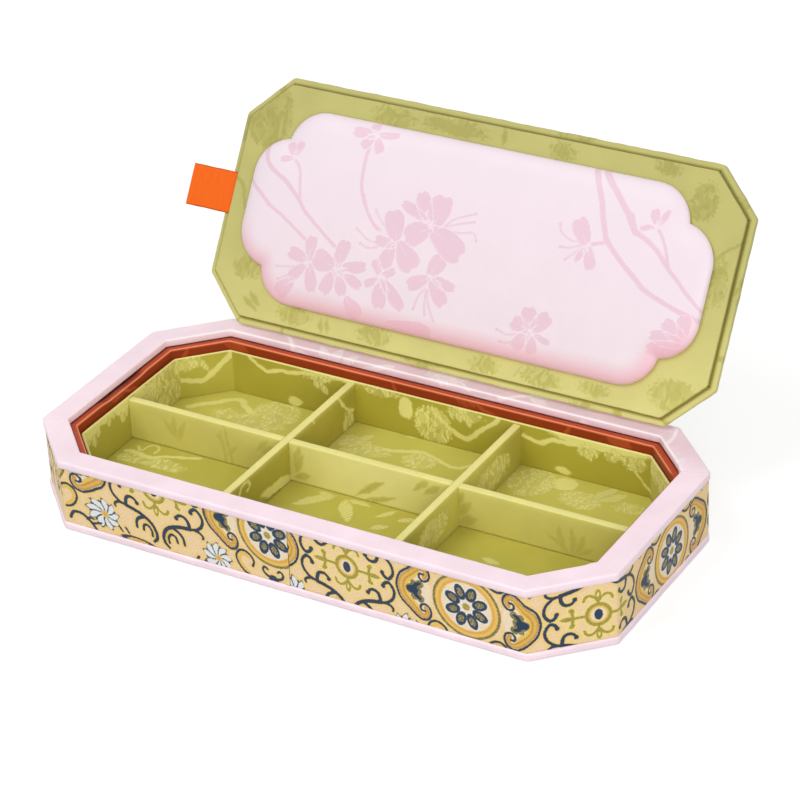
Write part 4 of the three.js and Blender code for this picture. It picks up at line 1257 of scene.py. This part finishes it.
def cushion_figures(x, y):
    """Blossoms, boughs and stamens listed over the lid's pad, as the damask's layers. A pale
    line parts each petal from its neighbours and runs up its middle from the foot."""
    layers = garden(x, y, boughs=BOUGHS, waver=0.1)
    figure, vein = layers["figure"], layers["vein"]
    for x0, y0, x1, y1, width in PETALS:
        x0, y0 = x0 - PETAL_ROOT * (x1 - x0), y0 - PETAL_ROOT * (y1 - y0)
        near = near_to(x, y, np.minimum((x0, y0), (x1, y1)), np.maximum((x0, y0), (x1, y1)))
        px, py = wavering(x[near], y[near], 0.15)
        shape = petal(px, py, x0, y0, x1, y1, PETAL_FULLNESS * width)
        length, along, across = laid_along(px, py, x0, y0, x1, y1)
        midrib = np.maximum(np.abs(across) + 0.05, np.maximum(along - 0.45 * length, -along))
        figure[near] = np.minimum(figure[near], shape)
        vein[near] = either(vein[near], np.abs(shape), midrib)
    for points in STAMENS:
        figure = either(figure, stroke(x, y, points, 0.6, 0.8), disc(x, y, *points[-1], 0.6))
    return {**layers, "figure": figure, "vein": vein}


def pad_top(y, share):
    """Places and heights of the pad's top on a grid: rows of even y, each crossed by its shares of the
    half width that the outline has there."""
    fine = lobe_outline(FINE_OUTLINE_STEPS)
    x = np.interp(np.abs(y), fine[:, 1], fine[:, 0])[:, None] * share
    y = np.broadcast_to(y[:, None], x.shape)
    return x, y, cushion_height(from_outline(x, y, lobe_outline(OUTLINE_STEPS)))


# Steps of the pad's fine grid: in the middle, near the outline, and how wide that border is. Then the
# coarse grid of its simulation, and what drives that.
PAD_STEPS = (0.6, 0.3, 4.0)
PAD_GRID = (37, 93)
PAD_START = 0.88
PAD_SCALE = 0.01
PAD_PRESSURE = 4.0
PAD_STIFFNESS = 40.0
PAD_FRAMES = 20
PAD_RISE_CAP = 3.0


def pad_swelling():
    """How far the wadding pushes the pad's satin out, as shares of the most, by cloth simulation: a coarse
    and flatter copy of its top, pinned along its glued edge, swells under an even pressure without
    gravity. It is ten times the real size, where the solver's usual stiffness suits it."""
    scene = bpy.context.scene
    rows, cols = PAD_GRID
    x, y, height = pad_top(CUSHION_HALF[1] * np.linspace(-1, 1, rows), np.linspace(-1, 1, cols))
    start = np.stack([x, y, PAD_START * height], -1).reshape(-1, 3)
    mesh = bpy.data.meshes.new("pad_satin")
    mesh.from_pydata((start * PAD_SCALE).tolist(), [], grid_quads(rows, cols).tolist())
    satin = bpy.data.objects.new("pad_satin", mesh)
    scene.collection.objects.link(satin)
    satin.vertex_groups.new(name="glued_edge").add(border_loop(rows, cols).tolist(), 1.0, "REPLACE")
    settings = satin.modifiers.new("satin", "CLOTH").settings
    settings.vertex_group_mass = "glued_edge"
    settings.use_pressure = True
    settings.uniform_pressure_force = PAD_PRESSURE
    settings.tension_stiffness = settings.compression_stiffness = PAD_STIFFNESS
    settings.effector_weights.gravity = 0.0
    for number in range(1, PAD_FRAMES + 1):
        scene.frame_set(number)
    swollen = np.empty(start.size, np.float32)
    satin.evaluated_get(bpy.context.evaluated_depsgraph_get()).data.vertices.foreach_get("co", swollen)
    bpy.data.objects.remove(satin)
    bpy.data.meshes.remove(mesh)
    scene.frame_set(1)
    rise = np.clip(swollen.reshape(-1, 3)[:, 2] / PAD_SCALE - start[:, 2], 0, PAD_RISE_CAP)
    return (rise / rise.max()).reshape(rows, cols)


def lid_cushion_pad():
    """The lid's pad: satin over wadding, in the lobed outline. Rows of even y reach to the outline;
    below its widest line the sides draw in to the foot, and one face closes the back."""
    half_x, half_y = CUSHION_HALF
    cusp_y = half_y - CUSHION_STEP
    y = np.unique(np.concatenate([graded(half_y, *PAD_STEPS), [-cusp_y, cusp_y]]))
    share = graded(half_x, *PAD_STEPS) / half_x
    gx, gy, height = pad_top(y, share)
    rows, cols = PAD_GRID
    along, down = (share[None] + 1) / 2 * (cols - 1), (y[:, None] / half_y + 1) / 2 * (rows - 1)
    swelling = sample(pad_swelling(), 1.0, along, down)
    height = PAD_START * height + (1 - PAD_START) * CUSHION_CROWN * swelling
    edge = border_loop(*gx.shape)
    rim = np.stack([gx, gy], -1).reshape(-1, 2)[edge]
    foot_in, foot_up = np.array([0.08, 0.3, 0.6, 1.0]), np.array([0.5, 0.22, 0.08, 0.0])
    foot = lifted_to(rim - loop_normals(rim) * foot_in[:, None, None], foot_up)
    points = np.concatenate([np.stack([gx, gy, height], -1).reshape(-1, 3), foot.reshape(-1, 3)])
    points[:, 2] = CUSHION_BACK - points[:, 2]
    number = np.concatenate([edge[None], gx.size + np.arange(foot[..., 0].size).reshape(-1, len(edge))])
    quads = np.concatenate([grid_quads(*gx.shape), skirt_quads(number)])
    cloth = points[:, :2]
    layers = cushion_figures(points[:, 0], points[:, 1])
    away = from_outline(points[:, 0], points[:, 1], lobe_outline(OUTLINE_STEPS))
    # Painted shade and painted rose reflection: the pad's lower half grows rosier and darker at its
    # shoulder.
    layers["edge"] = 0.72 * ease(away, PAD_SHOULDER, 0.5) * ease(points[:, 1], 0, 24)
    piece = make_piece("lid_cushion_pad", open_lid(points), quads, cloth, PINK_SATIN, "lid",
                       ["lid_cushion"], layers, [number[-1][::-1]])
    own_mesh(piece)
    return piece


RIBBON_LEVEL = LID_BOARD[0] - 0.325
RIBBON_ROOT = -(LENGTH / 2 - LID_PANEL_INSET) + 0.4
RIBBON_HINGE = -105.0
RIBBON_THICKNESS = 0.18


def ribbon_pull():
    """A loop of ribbon: out from between the lid's boards, round a small fold at its end and back.
    Its section, a thin oval-ended strip, is carried along that path."""
    fold = 0.24
    tip = RIBBON_HINGE - RIBBON_REACH + fold
    out_x = np.linspace(RIBBON_ROOT, tip, 60)
    loft = np.sin(np.pi * (out_x - RIBBON_ROOT) / (tip - RIBBON_ROOT)) ** 2
    gap = np.where(out_x < RIBBON_HINGE, fold, fold * 0.7) + 0.06 * loft * (out_x < RIBBON_HINGE)
    turn = np.linspace(-np.pi / 2, np.pi / 2, 11)[1:-1]
    path = np.concatenate([row(out_x, RIBBON_LEVEL - gap),
                           row(tip - fold * np.cos(turn), RIBBON_LEVEL + fold * np.sin(turn)),
                           row(out_x, RIBBON_LEVEL + gap)[::-1]])
    step = np.gradient(path, axis=0)
    step /= np.linalg.norm(step, axis=1, keepdims=True)
    normal = np.stack([-step[:, 1], step[:, 0]], -1)
    across = np.linspace(-1, 1, 25)
    strip = np.concatenate([row(across, 1.0), row(across[::-1], -1.0)])
    strip[:, 1] *= np.sqrt(np.clip(1.02 - strip[:, 0] ** 2, 0.01, 1)) ** 0.3
    way = travelled(path)
    half = RIBBON_WIDTH / 2 * (1 - 0.012 + 0.012 * hand_wrapped(way * 2))
    flat = path[:, None, :] + normal[:, None, :] * strip[None, :, 1:] * RIBBON_THICKNESS / 2
    y = half[:, None] * strip[:, 0]
    points = np.stack([flat[..., 0], y, flat[..., 1]], -1)
    cloth = row(way[:, None], y).reshape(-1, 2)
    layers = {"selvedge": (half[:, None] - np.abs(y)).ravel()}
    number = np.arange(y.size).reshape(y.shape)
    quads = grid_quads(*y.shape, close_cols=True)
    piece = make_piece("ribbon_pull", open_lid(points).reshape(-1, 3), quads, cloth, RIBBON_SATIN, "ribbon",
                       ["ribbon_root", "ribbon_tab"], layers,
                       [number[0], number[-1][::-1]], ride=False)
    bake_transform(piece)
    return piece


base_wrap()
brocade_strip("brocade_right", 1, RIGHT_STRIP_LAID, lip=0.0)
brocade_strip("brocade_left", -1, LEFT_STRIP_LAID, lip=0.25)
rim_wrap()
collar_wrap()
tray_wall_lining()
tray_floor_lining()
# Each divider's cloth and how much lighter its ground is painted; the long one wears the lit copy.
divider("long_divider", DIVIDER_LENGTH / 2, [-CROSS_DIVIDER_X, CROSS_DIVIDER_X], True, 0, PAINTED_LIT_TRAY_DAMASK, 0.9,
        LONG_DIVIDER_GARDEN)
divider("cross_divider_left", CROSS_DIVIDER_LENGTH / 2, [0], False, -CROSS_DIVIDER_X, TRAY_DAMASK, 0.2,
        CROSS_LEFT_GARDEN)
divider("cross_divider_right", CROSS_DIVIDER_LENGTH / 2, [0], False, CROSS_DIVIDER_X, TRAY_DAMASK, 1.0,
        CROSS_RIGHT_GARDEN)
lid_board_wrap()
lid_panel_wrap()
lid_cushion_pad()
ribbon_pull()

# Solids that keep their CAD shape.
for node in ["wall_" + face for face in FACE_NAMES] + ["cushion_card"]:
    materials = frame["nodes"][node].data.materials
    materials.clear()
    materials.append(GREYBOARD)


# Floor, light and camera.


def seen_directly(tree):
    """One for camera, mirror and see-through rays, and nought for light that bounces on."""
    ray = add(tree, "LightPath")
    most = ray.outputs["Is Camera Ray"]
    for kind in ("Is Glossy Ray", "Is Transmission Ray"):
        most = calculate(tree, "MAXIMUM", most, ray.outputs[kind])
    return most


FLOOR_HALF = 3.0
FLOOR_GLOW = 0.66


def studio_floor():
    """A wide white floor. To the camera it glows a little over its own diffuse white, so that it is
    white where the light falls and pale grey in the tray's shadow."""
    material, tree = new_material("white_studio_floor")
    glow = calculate(tree, "MULTIPLY", seen_directly(tree), FLOOR_GLOW)
    grain = noise(tree, add(tree, "TexCoord").outputs["Object"], 40.0)
    matt = add(tree, "BsdfDiffuse", {"Color": mix(tree, grain, linear("#b4b4b4"), linear("#b8b8b8"))})
    light = add(tree, "Emission", {"Color": (1, 1, 1, 1), "Strength": glow})
    both = add(tree, "AddShader", {0: matt.outputs[0], 1: light.outputs[0]})
    add(tree, "OutputMaterial", {0: both.outputs[0]})
    corners = FLOOR_HALF * np.array([(-1, -1, 0), (1, -1, 0), (1, 1, 0), (-1, 1, 0)])
    mesh = bpy.data.meshes.new("studio_floor")
    mesh.from_pydata(corners.tolist(), [], [(0, 1, 2, 3)])
    mesh.materials.append(material)
    floor = bpy.data.objects.new("studio_floor", mesh)
    bpy.context.scene.collection.objects.link(floor)


def look_along(back, roll, place):
    """Stand of a camera or lamp that looks against back, level and then turned by the roll."""
    right = np.cross((0, 0, 1), back)
    right = right / np.linalg.norm(right)
    up = np.cross(back, right)
    c, s = np.cos(roll), np.sin(roll)
    matrix = np.eye(4)
    matrix[:3, 0], matrix[:3, 1], matrix[:3, 2] = c * right + s * up, c * up - s * right, back
    matrix[:3, 3] = place
    return Matrix(matrix.tolist())


# Light that the white surroundings give, and lamps: place and size in metres, then watts.
SKY_LIGHT = 0.58
LAMPS = [("key", (-0.5, -0.55, 1.1), 0.8, 5.6), ("fill", (0.85, -0.95, 0.55), 0.8, 8.5)]


def studio_light():
    """White surroundings, and two large soft lamps: one above the left, one in front to the right."""
    world = bpy.data.worlds.new("studio")
    bpy.context.scene.world = world
    world.use_nodes = True
    tree = world.node_tree
    tree.nodes.clear()
    strength = ramp(tree, seen_directly(tree), 0.0, 1.0, SKY_LIGHT, 1.0)
    sky = add(tree, "Background", {"Color": (1, 1, 1, 1), "Strength": strength})
    add(tree, "OutputWorld", {0: sky.outputs[0]})
    for name, place, size, watts in LAMPS:
        lamp = bpy.data.lights.new(name, "AREA")
        lamp.size, lamp.energy = size, watts
        holder = bpy.data.objects.new(name, lamp)
        away = np.array(place) - (0, 0, 0.03)
        holder.matrix_world = look_along(away / np.linalg.norm(away), 0.0, place)
        bpy.context.scene.collection.objects.link(holder)


# The fitted camera: degrees round, up and rolled, its place in metres and its lens in millimetres.
CAMERA_TURN = (31.6319, 30.1416, -3.0273)
CAMERA_PLACE = (0.5062377, -0.7993754, 0.5946184)
CAMERA_LENS = 142.0155


def photo_camera():
    """Camera at the photograph's angle."""
    azimuth, elevation, roll = np.radians(CAMERA_TURN)
    level = np.cos(elevation)
    back = np.array([np.sin(azimuth) * level, -np.cos(azimuth) * level, np.sin(elevation)])
    camera = bpy.data.cameras.new("photo_camera")
    camera.sensor_width = 36.0
    camera.lens = CAMERA_LENS
    camera.clip_end = 20.0
    holder = bpy.data.objects.new("photo_camera", camera)
    holder.matrix_world = look_along(back, roll, CAMERA_PLACE)
    bpy.context.scene.collection.objects.link(holder)
    bpy.context.scene.camera = holder


studio_floor()
studio_light()
photo_camera()
bpy.context.scene.view_settings.view_transform = "Standard"
